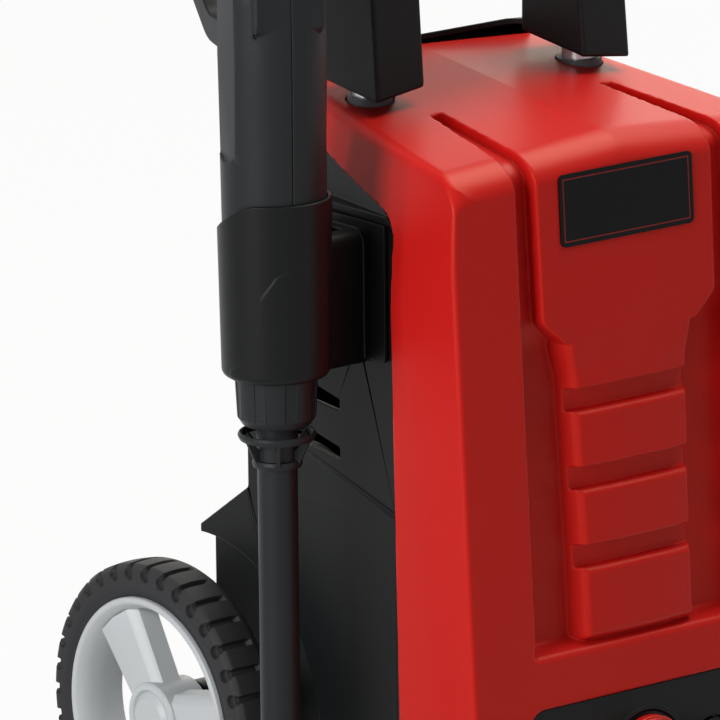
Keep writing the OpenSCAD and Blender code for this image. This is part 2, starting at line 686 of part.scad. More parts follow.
// ---- cable hooks -----------------------------------------------------------------------
hook_w = 44;
hook_reach = 30;
module hook_shape(up) union() {
    along_y_at(0, 5) rotate(up ? 0 : 180) polygon(rounded([[-hook_w / 2, -16], [hook_w / 2, -16],
        [hook_w / 2 - 6, 20], [-hook_w / 2 + 6, 20]], [6, 6, 8, 8]));
    along_y_at(5 - eps, hook_reach) rotate(up ? 0 : 180) polygon(rounded([[-13, -6], [13, -6], [11, 8],
        [-11, 8]], [4, 4, 4, 4]));
    along_y_at(hook_reach - eps, hook_reach + 5) rotate(up ? 0 : 180) polygon(rounded([[-18, -10], [18, -10],
        [14, 22], [-14, 22]], [6, 6, 8, 8]));
}
module along_y_at(y0, y1) translate([0, y1, 0]) rotate([90, 0, 0]) linear_extrude(y1 - y0) children();

module cable_hook_upper() color([0.14, 0.14, 0.15]) translate([0, back(body_d) + clear, hook_top_z]) {
    hook_shape(true);
    translate([0, -wall - 5 - clear, 0]) rotate([-90, 0, 0]) cylinder(r = hook_pin_r, h = wall + 6 + clear);
    translate([0, -wall - 7 - clear, 0]) rotate([-90, 0, 0]) cylinder(r = 3, h = 3);
}

module hook_pivot_cap() color([0.14, 0.14, 0.15]) translate([0, back(body_d) - wall - 8, hook_top_z])
    rotate([-90, 0, 0]) difference() {
        cylinder(r = hook_pin_r + 4, h = 3 - clear);
        translate([0, 0, -1]) cylinder(r = 3 + eps, h = 6);
    }

module cable_hook_lower() color([0.14, 0.14, 0.15]) translate([0, back(body_d), hook_low_z])
    hook_shape(false);

// ---- motor ---------------------------------------------------------------------------------
motor_y = back(motor_depth);
pump_z = 62;                        // underside of the pump head
head_h = 42;
block_h = 36;                       // cylinder block
chamber_h = 50;                     // chamber of the swash plate
swash_z = pump_z + head_h;          // underside of the swash housing
flange_z = swash_z + block_h + chamber_h;
stator_z = flange_z + 20;
stator_h = 72;
winding_h = 12;
shield_z = stator_z + stator_h + 24;
fan_z = shield_z + 34;
bearing_r = 16;
bearing_h = 9;
rotor_top = fan_z + 22;
pillar_r = 5;

module at_motor(z) translate([0, motor_y, z]) children();

// plastic frame that carries the stator between pump and end shield
module motor_cradle() color([0.2, 0.2, 0.22]) at_motor(flange_z) {
    difference() {
        cylinder(r = stator_d / 2 + 3, h = 6);
        translate([0, 0, -1]) cylinder(r = bearing_r + 12, h = 8);
    }
    for (a = [45:90:315]) rotate([0, 0, a]) difference() {
        translate([stator_d / 2 - 4, -7, 6 - eps]) cube([8, 14, shield_z - flange_z - 6 + eps]);
        translate([0, 0, stator_z - flange_z - clear]) cylinder(d = stator_d + 2 * eps, h = stator_h + 2 * clear);
    }
}

module stator_core() color("slategray") at_motor(stator_z) difference() {
    cylinder(d = stator_d, h = stator_h);
    translate([0, 0, -1]) cylinder(d = rotor_d + 1.6, h = stator_h + 2);
    for (s = [-1, 1]) translate([s * (rotor_d / 2 + 8), 0, -1]) intersection() {
        cylinder(r = 11, h = stator_h + 2);
        translate([-20, -30, 0]) cube([40, 60, stator_h + 2]);
    }
}

module stator_windings() color("peru") at_motor(stator_z - winding_h) for (s = [0, 180]) rotate([0, 0, s])
    difference() {
        union() {
            intersection() {
                tube(rotor_d / 2 + 17, rotor_d / 2 + 4, winding_h);
                translate([0, -34, 0]) cube([80, 68, winding_h]);
            }
            translate([0, 0, winding_h + stator_h]) intersection() {
                tube(rotor_d / 2 + 17, rotor_d / 2 + 4, winding_h);
                translate([0, -34, 0]) cube([80, 68, winding_h]);
            }
            translate([rotor_d / 2 + 9.5, 0, 0]) cylinder(r = 7, h = stator_h + 2 * winding_h);
        }
    }

module bearing(h = bearing_h) difference() {
    tube(bearing_r, shaft_d / 2 + eps, h);
    for (z = [-eps, h - 0.6]) translate([0, 0, z]) tube(bearing_r - 3, shaft_d / 2 + 3, 0.6 + eps);
}

low_bearing_z = flange_z - bearing_h;
module rotor_bearings() color("lightgray") {
    at_motor(low_bearing_z) bearing();
    at_motor(shield_z + 18) bearing();
}

module rotor_shaft() color("silver") at_motor(swash_z + block_h + 20) union() {
    cylinder(d = shaft_d, h = rotor_top - swash_z - block_h - 20);
}

module rotor_core() color("gray") at_motor(stator_z) difference() {
    cylinder(d = rotor_d, h = stator_h);
    translate([0, 0, -1]) cylinder(d = shaft_d, h = stator_h + 2);
    for (a = [0:30:330]) rotate([0, 0, a]) translate([rotor_d / 2 - 8, -1.4, -1]) cube([10, 2.8, stator_h + 2]);
}

module rotor_windings() color("peru") for (z = [stator_z - 10, stator_z + stator_h])
    at_motor(z) tube(rotor_d / 2 - 3, shaft_d / 2 + 1, 10);

commutator_z = stator_z + stator_h + 12;
module commutator() color("darkgoldenrod") at_motor(commutator_z) difference() {
    cylinder(r = 14, h = 22);
    translate([0, 0, -1]) cylinder(d = shaft_d, h = 24);
    for (a = [0:15:345]) rotate([0, 0, a]) translate([12.5, -0.4, -1]) cube([3, 0.8, 24]);
}

module motor_end_shield() color([0.2, 0.2, 0.22]) at_motor(shield_z) difference() {
    union() {
        tube(stator_d / 2 + 4, stator_d / 2 - 4, 8);
        translate([0, 0, 16]) cylinder(r = bearing_r + 4, h = bearing_h + 4);
        for (a = [45:90:315]) rotate([0, 0, a]) rotate([90, 0, 0]) translate([0, 0, -5]) linear_extrude(10)
            polygon([[bearing_r + 1, 16], [bearing_r + 1, 28], [stator_d / 2 + 3, 6], [stator_d / 2 + 3, 1],
                [stator_d / 2 - 3, 1]]);
        for (s = [-1, 1]) translate([s * 33 - 8, -8, 0]) cube([16, 16, 18]);
        for (a = [0, 90]) rotate([0, 0, a]) translate([-stator_d / 2 + 2, -6, 0]) cube([10, 12, 6]);
        for (s = [-1, 1]) translate([s * 40 - 8, -6, 0]) cube([16, 12, 6]);
    }
    translate([0, 0, 18]) cylinder(r = bearing_r + eps, h = 30);
    translate([0, 0, 10]) cylinder(r = bearing_r - 4, h = 30);
    translate([0, 0, -1]) cylinder(r = 17, h = 14);
    for (s = [-1, 1]) translate([s * 30 - 20, -5.2, 3]) cube([40, 10.4, 10.4]);
}

module brush_holders() color("goldenrod") at_motor(shield_z) for (s = [0, 180]) rotate([0, 0, s]) {
    difference() {
        translate([18, -5, 3.2]) cube([24, 10, 10]);
        translate([17, -3, 5.2]) cube([30, 6, 6]);
    }
    // brush
    translate([14 + clear, -3 + eps, 5.2 + eps]) cube([20, 6 - 2 * eps, 6 - 2 * eps]);
}

module cooling_fan() color([0.7, 0.7, 0.68]) at_motor(fan_z) difference() {
    union() {
        cylinder(r = 44, h = 2);
        cylinder(r = 11, h = 16);
        for (a = [0:30:330]) rotate([0, 0, a]) translate([10, -1, 0]) rotate([0, 0, 8])
            translate([0, 0, 1]) cube([32, 2, 13]);
    }
    translate([0, 0, -1]) cylinder(d = shaft_d, h = 30);
}

// ---- pump ---------------------------------------------------------------------------------
swash_tilt = 7;
piston_circle = 20;
swash_r = 32;
swash_centre = swash_z + block_h + 24;      // centre of the plate's slanted face
piston_head_r = 9;
piston_top = swash_centre - (piston_circle + piston_head_r) * tan(swash_tilt) - clear;

module swash_plate() color("silver") at_motor(swash_centre) difference() {
    translate([0, 0, -4]) cylinder(r = swash_r, h = 12.5);
    rotate([swash_tilt, 0, 0]) translate([-50, -50, -40]) cube([100, 100, 40]);
    translate([0, 0, -10]) cylinder(d = shaft_d, h = 40);
}

module swash_housing() color("lightslategray") at_motor(swash_z) difference() {
    union() {
        cylinder(r = 44, h = block_h + chamber_h - 4);
        cylinder(r = 48, h = 6);
        translate([0, 0, block_h + chamber_h - 6]) cylinder(r = stator_d / 2 + 3, h = 6);
        for (a = [0:30:330]) rotate([0, 0, a]) translate([40, -1.2, 5]) cube([8, 2.4, block_h + chamber_h - 8]);
    }
    translate([0, 0, block_h]) cylinder(r = swash_r + 5, h = chamber_h - bearing_h - 8);
    translate([0, 0, block_h + 10]) cylinder(r = shaft_d / 2 + 2, h = chamber_h);
    translate([0, 0, block_h + chamber_h - bearing_h]) cylinder(r = bearing_r + eps, h = 30);
    for (a = [90, 210, 330]) rotate([0, 0, a]) translate([piston_circle, 0, -1])
        cylinder(r = piston_d / 2 + run, h = block_h + 2);
}

module pump_pistons() color("gainsboro") for (a = [90, 210, 330]) at_motor(swash_z + 8)
    rotate([0, 0, a]) translate([piston_circle, 0, 0]) union() {
        cylinder(d = piston_d, h = piston_top - swash_z - 8 - 2);
        translate([0, 0, piston_top - swash_z - 12]) cylinder(r = piston_head_r, h = 4);
    }

module piston_springs() color("darkgray") for (a = [90, 210, 330]) at_motor(swash_z + block_h)
    rotate([0, 0, a]) translate([piston_circle, 0, 0])
        for (z = [0:3.2:piston_top - swash_z - block_h - 6]) translate([0, 0, z + 0.9])
            rotate_extrude($fn = 32) translate([8.2, 0]) circle(r = 0.75, $fn = 16);

head_w = 112;
valve_rows = [-30, -12, 6];         // the caps' distances behind the motor's axis
stub_len = 24;                      // length of the pump head's pipe stubs
head_d = 84;
module pump_head() color("darkkhaki") difference() {
    union() {
        translate([0, motor_y, pump_z]) linear_extrude(head_h) polygon(rounded([[-head_w / 2, -head_d / 2],
            [head_w / 2, -head_d / 2], [head_w / 2, head_d / 2], [-head_w / 2, head_d / 2]], [10, 10, 14, 14]));
        for (s = [-1, 1]) translate([s * port_x, motor_y - head_d / 2 + 4, port_z]) rotate([90, 0, 0])
            cylinder(r = 13, h = 4 + stub_len);
    }
    for (s = [-1, 1]) translate([s * port_x, motor_y - 8, port_z]) rotate([90, 0, 0])
        cylinder(r = 8, h = 100);
    for (a = [90, 210, 330]) translate([0, motor_y, swash_z - 12]) rotate([0, 0, a])
        translate([piston_circle, 0, 0]) cylinder(d = piston_d - 2, h = 20);
    for (s = [-1, 1]) for (d = valve_rows) translate([s * (head_w / 2 + 1), motor_y + d, pump_z + 12])
        rotate([0, -90 * s, 0]) cylinder(r = 6, h = 9);
}

module valve_caps() color("goldenrod") for (s = [-1, 1]) for (d = valve_rows)
    translate([s * (head_w / 2 - 8), motor_y + d, pump_z + 12]) rotate([0, 90 * s, 0]) union() {
        cylinder(r = 6 - eps, h = 8);
        translate([0, 0, 8]) cylinder(r = 8, h = 5, $fn = 6);
    }

module pressure_switch() color([0.15, 0.15, 0.16]) translate([0, motor_y + head_d / 2, pump_z]) union() {
    translate([-17, 0, 8]) cube([34, 24, 30]);
    translate([-10, 6, 38]) cube([20, 12, 5]);
    for (x = [-8, 0, 8]) translate([x - 1, 10, 43]) cube([2, 0.8, 8]);
}

// water ports
module inlet_coupling() color([0.1, 0.1, 0.1]) translate([port_x, motor_y - head_d / 2 - stub_len, port_z])
    rotate([90, 0, 0]) difference() {
        union() {
            cylinder(r = 12.5, h = 30);
            translate([0, 0, 26]) cylinder(r = port_r, h = 14);
            translate([0, 0, 40]) cylinder(r = 11, h = 8);
            translate([0, 0, 48 - eps]) cylinder(r = 8.6, h = 12 + eps);
        }
        translate([0, 0, -1]) cylinder(r = 5.5, h = 70);
        translate([0, 0, 50]) tube(10, 7.6, 3);
        translate([0, 0, 14]) cylinder(r = 9, h = 20);
    }

module inlet_filter() color("whitesmoke") translate([port_x, motor_y - head_d / 2 - stub_len - 15, port_z])
    rotate([90, 0, 0]) difference() {
        union() {
            cylinder(r = 9 - clear, h = 2);
            cylinder(r = 6.5, h = 17);
        }
        translate([0, 0, 1.5]) cylinder(r = 5.3, h = 30);
        for (a = [0:45:315]) for (z = [4:4:12]) rotate([0, 0, a]) translate([4, -1, z]) cube([4, 2, 2]);
    }

module outlet_fitting() color("goldenrod") translate([-port_x, motor_y - head_d / 2 - stub_len, port_z])
    rotate([90, 0, 0]) difference() {
        union() {
            cylinder(r = 12, h = 34);
            translate([0, 0, 30]) cylinder(r = port_r, h = 10, $fn = 6);
            translate([0, 0, 40]) cylinder(r = 11, h = 16);
        }
        translate([0, 0, -1]) cylinder(r = 4, h = 80);
        translate([0, 0, 44]) cylinder(r = 6.5, h = 30);
        for (z = [43:2.5:53]) translate([0, 0, z]) tube(14, 10.2, 1.2);
    }

// ---- electrics -----------------------------------------------------------------------------
module at_knob() on_face() translate([0, fascia_set, knob_z - lean_z]) rotate([90, 0, 0]) children();

module switch_body() color([0.12, 0.12, 0.12]) at_knob() {
    difference() {
        translate([-16, -20, -wall - fascia_t - 26]) cube([32, 40, 26 - clear]);
        translate([0, 0, -60]) cylinder(r = knob_shaft_r + run, h = 60);
    }
    for (x = [-9, 0, 9]) translate([x - 3, -16, -wall - fascia_t - 34]) cube([6, 0.8, 8 + eps]);
}

module switch_knob() color([0.75, 0.1, 0.08]) at_knob() union() {
    translate([0, 0, clear]) cylinder(r = knob_r, h = 5);
    translate([0, 0, clear]) intersection() {
        cylinder(r1 = knob_r - 1, r2 = knob_r - 4, h = 19);
        translate([-6, -40, 0]) cube([12, 80, 30]);
    }
    translate([0, 0, -24]) cylinder(r = knob_shaft_r, h = 26);
}

filter_x = 58;
filter_depth = 150;
filter_r = 15;
filter_h = 48;
module noise_filter() color([0.85, 0.85, 0.82]) translate([-filter_x, back(filter_depth), floor_z + wall]) {
    cylinder(r = filter_r, h = filter_h);
    for (x = [-5, 5]) translate([x - 2, -0.4, filter_h]) cube([4, 0.8, 9]);
}

module cable_gland() color([0.1, 0.1, 0.1]) translate([gland_x, back(body_d) - wall - 4, gland_z])
    rotate([-90, 0, 0]) difference() {
        union() {
            cylinder(r = gland_r + 2.5, h = 4 - clear);
            cylinder(r = gland_r, h = wall + 10);
            translate([0, 0, wall + 4 + clear]) cylinder(r = gland_r + 3, h = 3);
            translate([0, 0, wall + 10 - eps]) cylinder(r1 = gland_r - 1, r2 = 6, h = 26);
        }
        translate([0, 0, -1]) cylinder(r = 4.2, h = 80);
        for (z = [0:5:20]) translate([0, 0, wall + 13 + z]) for (a = [0, 180]) rotate([0, 0, a + z * 18])
            translate([4.6, -8, 0]) cube([10, 16, 2]);
    }

// ---- gun ------------------------------------------------------------------------------------
shell_z = sleeve_z + 2.6;            // lower end of the shells
head_z = 486;                        // the barrel ends here and the grip head begins
grip_t = 36;
guard_t = 20;
valve_r = 10;
trigger_pivot = [30, 30];            // (y, z) above head_z
trigger_t = 14;
pivot_r = 3;
lock_pivot = [72, 27];
lock_t = 6;
lock_pin_r = 1.6;
lock_pin_l = trigger_t - 3;          // the lock's pin ends inside the trigger's sides
nipple_at = [126, 81];
nipple_tilt = 65;
flat_z = 424;                       // centre of the flat panels' round lower ends
flat_r = 17;
flat_inner_r = barrel_r - 5;        // outside of the barrel's chambers, clear of the flat panels

module in_head() translate([0, 0, head_z]) children();

grip_points = [[-26, -12], [8, -22], [46, 24], [126, 64], [136, 60], [132, 96], [110, 102], [26, 57],
    [-10, 46], [-26, 26]];
elbow_z = 36;                        // the feed pipe turns towards the hose here
pipe_r = 4.5;
elbow_w = 12;
shell_t = 3.5;

module gun_outline() difference() {
    union() {
        rotate_extrude($fn = 96) polygon([[0, shell_z], [21, shell_z], [21, seat_z + clear],
            [barrel_r - 0.6, seat_z + clear], [barrel_r - 0.4, 330], [barrel_r, 380], [barrel_r + 1, 460],
            [barrel_r + 0.6, head_z + 6], [barrel_r - 4, head_z + 18], [0, head_z + 18]]);
        // grip with its head
        in_head() along_x(grip_t) polygon(rounded(grip_points, [8, 10, 10, 4, 3, 8, 20, 20, 14, 12]));
        // guard
        in_head() along_x(guard_t) polygon(rounded([[14, -36], [64, -32], [122, 16], [137, 61],
            [127, 67], [112, 25], [62, -19], [14, -20]], [2, 20, 20, 2, 2, 14, 16, 2]));
    }
    // flat panels let into both sides of the barrel
    for (s = [-1, 1]) translate([s * (barrel_r + 3.4), 0, flat_z]) rotate([0, 90, 0]) translate([0, 0, -5])
        linear_extrude(10) {
            circle(r = flat_r);
            translate([-80, -flat_r]) square([80, 2 * flat_r]);
        }
}

// bosses for the trigger's pivot, the screws and the hose nipple
module gun_bosses() {
    in_head() for (s = [-1, 1]) translate([s > 0 ? trigger_t / 2 + 0.6 : -grip_t / 2 + 1, trigger_pivot[0],
        trigger_pivot[1]]) rotate([0, 90, 0]) cylinder(r = 6, h = grip_t / 2 - 1 - trigger_t / 2 - 0.6);
    for (p = gun_screw_points) translate([-grip_t / 2 + 1, p[0], p[1]]) rotate([0, 90, 0])
        cylinder(r = 4.5, h = grip_t - 2);
    in_head() translate([0, nipple_at[0], nipple_at[1]]) rotate([-nipple_tilt, 0, 0])
        translate([0, 0, -8]) cylinder(r = 12, h = 16);
}

module feed_pipe(r) in_head() {
    translate([0, 0, -40]) cylinder(r = r, h = 40 + elbow_z);
    translate([0, 0, elbow_z]) rotate([0, 90, 0]) translate([0, 0, -elbow_w / 2])
        cylinder(r = elbow_w / 2 + r - pipe_r, h = elbow_w);
    translate([0, 0, elbow_z]) rotate([-atan2(nipple_at[0], nipple_at[1] - elbow_z), 0, 0])
        cylinder(r = r, h = norm([nipple_at[0], nipple_at[1] - elbow_z]));
}

module gun_cavity() {
    // valve passage
    translate([0, 0, shell_z - 1]) cylinder(r = valve_r + eps, h = head_z - 30 - shell_z);
    // chambers between the ribs of the barrel
    for (z = [seat_z + 8:44:head_z - 60]) translate([0, 0, z]) tube(flat_inner_r, valve_r + 2.5, 40);
    difference() {
        in_head() along_x(grip_t - 2 * shell_t) polygon(inset(grip_points, shell_t));
        gun_bosses();
    }
    feed_pipe(pipe_r + eps);
    // room for the trigger
    in_head() along_x(trigger_t + 1.2) polygon([[20, 4], [50, 10], [112, 54], [104, 72], [44, 44], [20, 44]]);
    // hose channel
    in_head() translate([0, nipple_at[0], nipple_at[1]]) rotate([-nipple_tilt, 0, 0])
        cylinder(r = 8 + eps, h = 30);
    for (p = gun_screw_points) translate([-grip_t / 2, p[0], p[1]]) rotate([0, 90, 0])
        cylinder(r = screw_r - 0.4, h = grip_t);
    // pivot hole in the right shell
    in_head() translate([0, trigger_pivot[0], trigger_pivot[1]]) rotate([0, 90, 0])
        cylinder(r = pivot_r + eps, h = 15);
}

gun_screw_points = [[-14, head_z - 18], [108, head_z + 88], [-14, head_z + 28]];

module gun_half(side) intersection() {
    difference() {
        gun_outline();
        gun_cavity();
    }
    translate([side > 0 ? eps : -100, -100, 0]) cube([100 - eps, 300, big]);
}

// the left shell carries the trigger's moulded pivot
module gun_shell_left() color([0.17, 0.18, 0.19]) at_gun() {
    gun_half(-1);
    in_head() translate([-grip_t / 2 + 2, trigger_pivot[0], trigger_pivot[1]]) rotate([0, 90, 0])
        cylinder(r = pivot_r, h = grip_t / 2 + 12);
}
module gun_shell_right() color([0.17, 0.18, 0.19]) at_gun() gun_half(1);

module gun_valve() color("goldenrod") at_gun() difference() {
    union() {
        translate([0, 0, shell_z]) cylinder(r = valve_r, h = head_z - 32 - shell_z);
        feed_pipe(pipe_r);
    }
    translate([0, 0, shell_z - 1]) cylinder(r = 4, h = head_z - 42 - shell_z);
    // keeps clear of the nipple
    in_head() translate([0, nipple_at[0], nipple_at[1]]) rotate([-nipple_tilt, 0, 0])
        cylinder(r = 20, h = 30);
}

module gun_screws() color("silver") at_gun() for (p = gun_screw_points)
    translate([-grip_t / 2 + 1, p[0], p[1]]) rotate([0, 90, 0])
        cylinder(r = screw_r - 0.4 - eps, h = grip_t - 2);

module hose_nipple() color("goldenrod") at_gun() in_head() translate([0, nipple_at[0], nipple_at[1]])
    rotate([-nipple_tilt, 0, 0]) difference() {
        union() {
            cylinder(r = 8, h = 20);
            translate([0, 0, 16]) cylinder(r = 11, h = 30);
        }
        translate([0, 0, -1]) cylinder(r = 3.5, h = 60);
    }

// collar that the lance plugs into
collar_z = 272;
spigot_r = 9;                        // the lance's spigot turns in the collar
module nose_collar() color([0.16, 0.17, 0.18]) at_gun() difference() {
    rotate_extrude($fn = 96) polygon([[spigot_r + run, collar_z], [17, collar_z], [19.6, collar_z + 4],
        [20.9, shell_z - clear], [spigot_r + run, shell_z - clear]]);
    for (a = [0:45:315]) rotate([0, 0, a]) translate([19.2, -3, collar_z + 4]) rotate([0, 2.4, 0])
        cube([4, 6, 30]);
}

module trigger() color([0.75, 0.1, 0.08]) at_gun() in_head() difference() {
    along_x(trigger_t) polygon(rounded([[24, 24], [34, 22], [46, 8], [66, 16], [84, 30], [92, 43], [84, 44],
        [60, 32], [44, 36], [24, 38]], [3, 3, 6, 8, 6, 2, 2, 8, 4, 4]));
    translate([-20, trigger_pivot[0], trigger_pivot[1]]) rotate([0, 90, 0])
        cylinder(r = pivot_r + run, h = 40);
    // slot and pin hole of the lock
    along_x(lock_t + 0.8) polygon([[52, 0], [88, 20], [80, 36], [66, 30], [56, 24]]);
    translate([-20, lock_pivot[0], lock_pivot[1]]) rotate([0, 90, 0]) cylinder(r = lock_pin_r + run, h = 40);
}

module trigger_lock() color([0.1, 0.1, 0.1]) at_gun() in_head() union() {
    along_x(lock_t) polygon(rounded([[69, 29], [60, 22], [56, 13], [64, 15], [76, 24], [75, 30]],
        [1, 1, 1, 3, 2, 2]));
    translate([-lock_pin_l / 2, lock_pivot[0], lock_pivot[1]]) rotate([0, 90, 0])
        cylinder(r = lock_pin_r, h = lock_pin_l);
}

// ---- lance ------------------------------------------------------------------------------------
ring_z = 264;
lance_top = 253;
module lance_collar() color([0.15, 0.16, 0.17]) at_gun() difference() {
    union() {
        translate([0, 0, lance_top]) cylinder(r = 10.4, h = 18);
        translate([0, 0, lance_top]) cylinder(r = spigot_r, h = 40);
        // upper ring, lower ring and the ribs between them
        translate([0, 0, ring_z]) rotate_extrude($fn = 96) polygon([[16.8, 0.6], [18.6, 0], [19.7, 2.4],
            [18.8, 4], [17.4, 3.6]]);
        translate([0, 0, lance_top - 3]) rotate_extrude($fn = 96) polygon([[9.5, 0], [12, 0], [12.6, 2],
            [12, 4], [9.5, 4]]);
        for (a = [0:60:300]) rotate([0, 0, a + 12]) rotate([90, 0, 0]) translate([0, 0, -0.9])
            linear_extrude(1.8) polygon([[10.2, lance_top - 1], [12.4, lance_top - 1], [19, ring_z + 2],
                [17.2, ring_z + 2.6], [10.2, lance_top + 6]]);
    }
    translate([0, 0, lance_top - 10]) cylinder(r = 5, h = 60);
    translate([0, 0, 283]) tube(12, 7.4, 2.4);
}

module lance_tube() color([0.18, 0.19, 0.2]) at_gun() difference() {
    union() {
        translate([0, 0, lance_tip_z + 26]) cylinder(d = lance_d, h = lance_top - 3 - lance_tip_z - 26);
        translate([0, 0, lance_tip_z + 18]) cylinder(d = lance_d - 5, h = 20);
    }
    cylinder(r = 5, h = 300);
}

module nozzle_tip() color([0.12, 0.12, 0.12]) at_gun() difference() {
    rotate_extrude() polygon([[0, lance_tip_z], [9, lance_tip_z], [11.5, lance_tip_z + 3],
        [13, lance_tip_z + 10], [13, lance_tip_z + 22], [11.4, lance_tip_z + 26 - clear],
        [0, lance_tip_z + 26 - clear]]);
    translate([0, 0, lance_tip_z + 18 - clear]) cylinder(r = (lance_d - 5) / 2 + run, h = 40);
    translate([0, 0, lance_tip_z - 1]) cylinder(r = 2.5, h = 40);
    for (a = [0:30:330]) rotate([0, 0, a]) translate([12.4, -1, lance_tip_z + 8]) cube([4, 2, 12]);
}

// ---- assembly -----------------------------------------------------------------------------------
front_cover();
rear_housing();
front_fascia();
label_plate();
gun_holder();
holder_screws();
housing_screws();
front_foot();
axle();
axle_clips();
handle_guides();
cable_hook_lower();
cable_hook_upper();
hook_pivot_cap();
motor_cradle();
stator_core();
stator_windings();
motor_end_shield();
brush_holders();
rotor_bearings();
rotor_shaft();
rotor_core();
rotor_windings();
commutator();
cooling_fan();
swash_plate();
swash_housing();
pump_pistons();
piston_springs();
pump_head();
valve_caps();
pressure_switch();
switch_body();
switch_knob();
noise_filter();
inlet_coupling();
inlet_filter();
outlet_fitting();
cable_gland();
handle_grip();
handle_tubes();
tube_bushes();
grip_screws();
wheel_rim_left();
tyre_left();
hub_cap_left();
wheel_rim_right();
tyre_right();
hub_cap_right();
gun_shell_left();
gun_shell_right();
gun_valve();
hose_nipple();
nose_collar();
gun_screws();
trigger();
trigger_lock();
lance_collar();
lance_tube();
nozzle_tip();
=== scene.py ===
"""Looks of the upright pressure washer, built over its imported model."""

import json
import math

import bmesh
import bpy
import numpy as np
from mathutils import Matrix, Vector


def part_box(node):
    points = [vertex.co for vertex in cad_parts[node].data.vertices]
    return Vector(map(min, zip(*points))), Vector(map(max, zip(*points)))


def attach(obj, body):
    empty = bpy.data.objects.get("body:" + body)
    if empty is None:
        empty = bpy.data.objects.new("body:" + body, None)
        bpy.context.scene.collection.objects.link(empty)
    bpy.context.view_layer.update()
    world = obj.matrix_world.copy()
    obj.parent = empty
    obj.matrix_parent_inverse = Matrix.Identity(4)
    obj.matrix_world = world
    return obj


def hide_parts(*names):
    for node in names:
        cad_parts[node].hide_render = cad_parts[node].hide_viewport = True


MM = 0.001
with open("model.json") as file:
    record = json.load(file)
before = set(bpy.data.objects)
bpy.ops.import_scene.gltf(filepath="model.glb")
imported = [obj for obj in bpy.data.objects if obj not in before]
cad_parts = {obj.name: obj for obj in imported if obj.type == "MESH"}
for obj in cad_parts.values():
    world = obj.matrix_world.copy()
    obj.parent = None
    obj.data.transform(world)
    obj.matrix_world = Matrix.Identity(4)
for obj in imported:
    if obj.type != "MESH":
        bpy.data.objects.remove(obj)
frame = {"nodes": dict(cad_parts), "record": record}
NODES = frame["nodes"]
BODY_OF = {node: body for body, members in frame["record"]["behaviour"]["bodies"].items() for node in members}
SLOT_OF = {entry["node"]: entry["material_slot"] for entry in frame["record"]["subparts"]}
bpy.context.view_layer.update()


# ---- shader maths ------------------------------------------------------------


class Val:
    """A socket or number in a material's maths."""

    def __init__(self, mat, socket):
        self.mat = mat
        self.socket = socket

    def maths(self, operation, *others, first=None):
        node = self.mat.tree.nodes.new("ShaderNodeMath")
        node.operation = operation
        values = [first if first is not None else self, *others]
        for slot, value in zip(node.inputs, values):
            self.mat.feed(slot, value)
        return Val(self.mat, node.outputs[0])

    def __add__(self, other):
        return self.maths("ADD", other)

    __radd__ = __add__

    def __sub__(self, other):
        return self.maths("SUBTRACT", other)

    def __rsub__(self, other):
        return self.maths("SUBTRACT", self, first=other)

    def __mul__(self, other):
        return self.maths("MULTIPLY", other)

    __rmul__ = __mul__

    def below(self, limit):
        return self.maths("LESS_THAN", limit)


class Finish:
    """One material, written as a chain of nodes."""

    def __init__(self, name):
        self.material = bpy.data.materials.new(name)
        self.material.use_nodes = True
        self.tree = self.material.node_tree
        self.shader = self.tree.nodes["Principled BSDF"]
        self.coords = self.tree.nodes.new("ShaderNodeTexCoord")

    def feed(self, slot, value):
        if isinstance(value, Val):
            self.tree.links.new(value.socket, slot)
        elif hasattr(slot.default_value, "__len__") and not hasattr(value, "__len__"):
            slot.default_value = [value] * len(slot.default_value)
        elif hasattr(value, "__len__") and len(value) == 3 and len(slot.default_value) == 4:
            slot.default_value = (*value, 1.0)
        else:
            slot.default_value = value

    def node(self, kind, settings=None, stops=None, out=0, **values):
        made = self.tree.nodes.new("ShaderNode" + kind)
        for key, setting in (settings or {}).items():
            setattr(made, key, setting)
        if stops:
            ramp = made.color_ramp
            while len(ramp.elements) > 1:
                ramp.elements.remove(ramp.elements[0])
            for index, (place, colour) in enumerate(stops):
                element = ramp.elements[0] if index == 0 else ramp.elements.new(place)
                element.position = place
                element.color = (*colour, 1.0) if len(colour) == 3 else colour
        for key, value in values.items():
            slot = made.inputs[int(key[1:])] if key[0] == "i" and key[1:].isdigit() else made.inputs[
                key.replace("_", " ")]
            self.feed(slot, value)
        return Val(self, made.outputs[out])

    @property
    def place(self):
        return Val(self, self.coords.outputs["Object"])

    def noise(self, scale, detail=2.0, rough=0.5, where=None):
        return self.node("TexNoise", {"noise_dimensions": "3D"}, Vector=where or self.place, Scale=scale,
                         Detail=detail, Roughness=rough)

    def axis(self, which, where=None):
        return self.node("SeparateXYZ", out="XYZ".index(which), Vector=where or self.place)

    def stretch(self, x, y, z):
        return self.node("Mapping", Vector=self.place, Scale=(x, y, z))

    def blend(self, amount, first, second):
        mix = self.tree.nodes.new("ShaderNodeMix")
        mix.data_type = "RGBA"
        self.feed(mix.inputs[0], amount)
        self.feed(mix.inputs[6], first)
        self.feed(mix.inputs[7], second)
        return Val(self, mix.outputs[2])

    def relief(self, height, distance, strength=1.0, under=None):
        bump = self.tree.nodes.new("ShaderNodeBump")
        self.feed(bump.inputs["Strength"], strength)
        self.feed(bump.inputs["Distance"], distance)
        self.feed(bump.inputs["Height"], height)
        if under is not None:
            self.feed(bump.inputs["Normal"], under)
        return Val(self, bump.outputs[0])

    def set(self, **sockets):
        for key, value in sockets.items():
            self.feed(self.shader.inputs[key.replace("_", " ")], value)
        return self


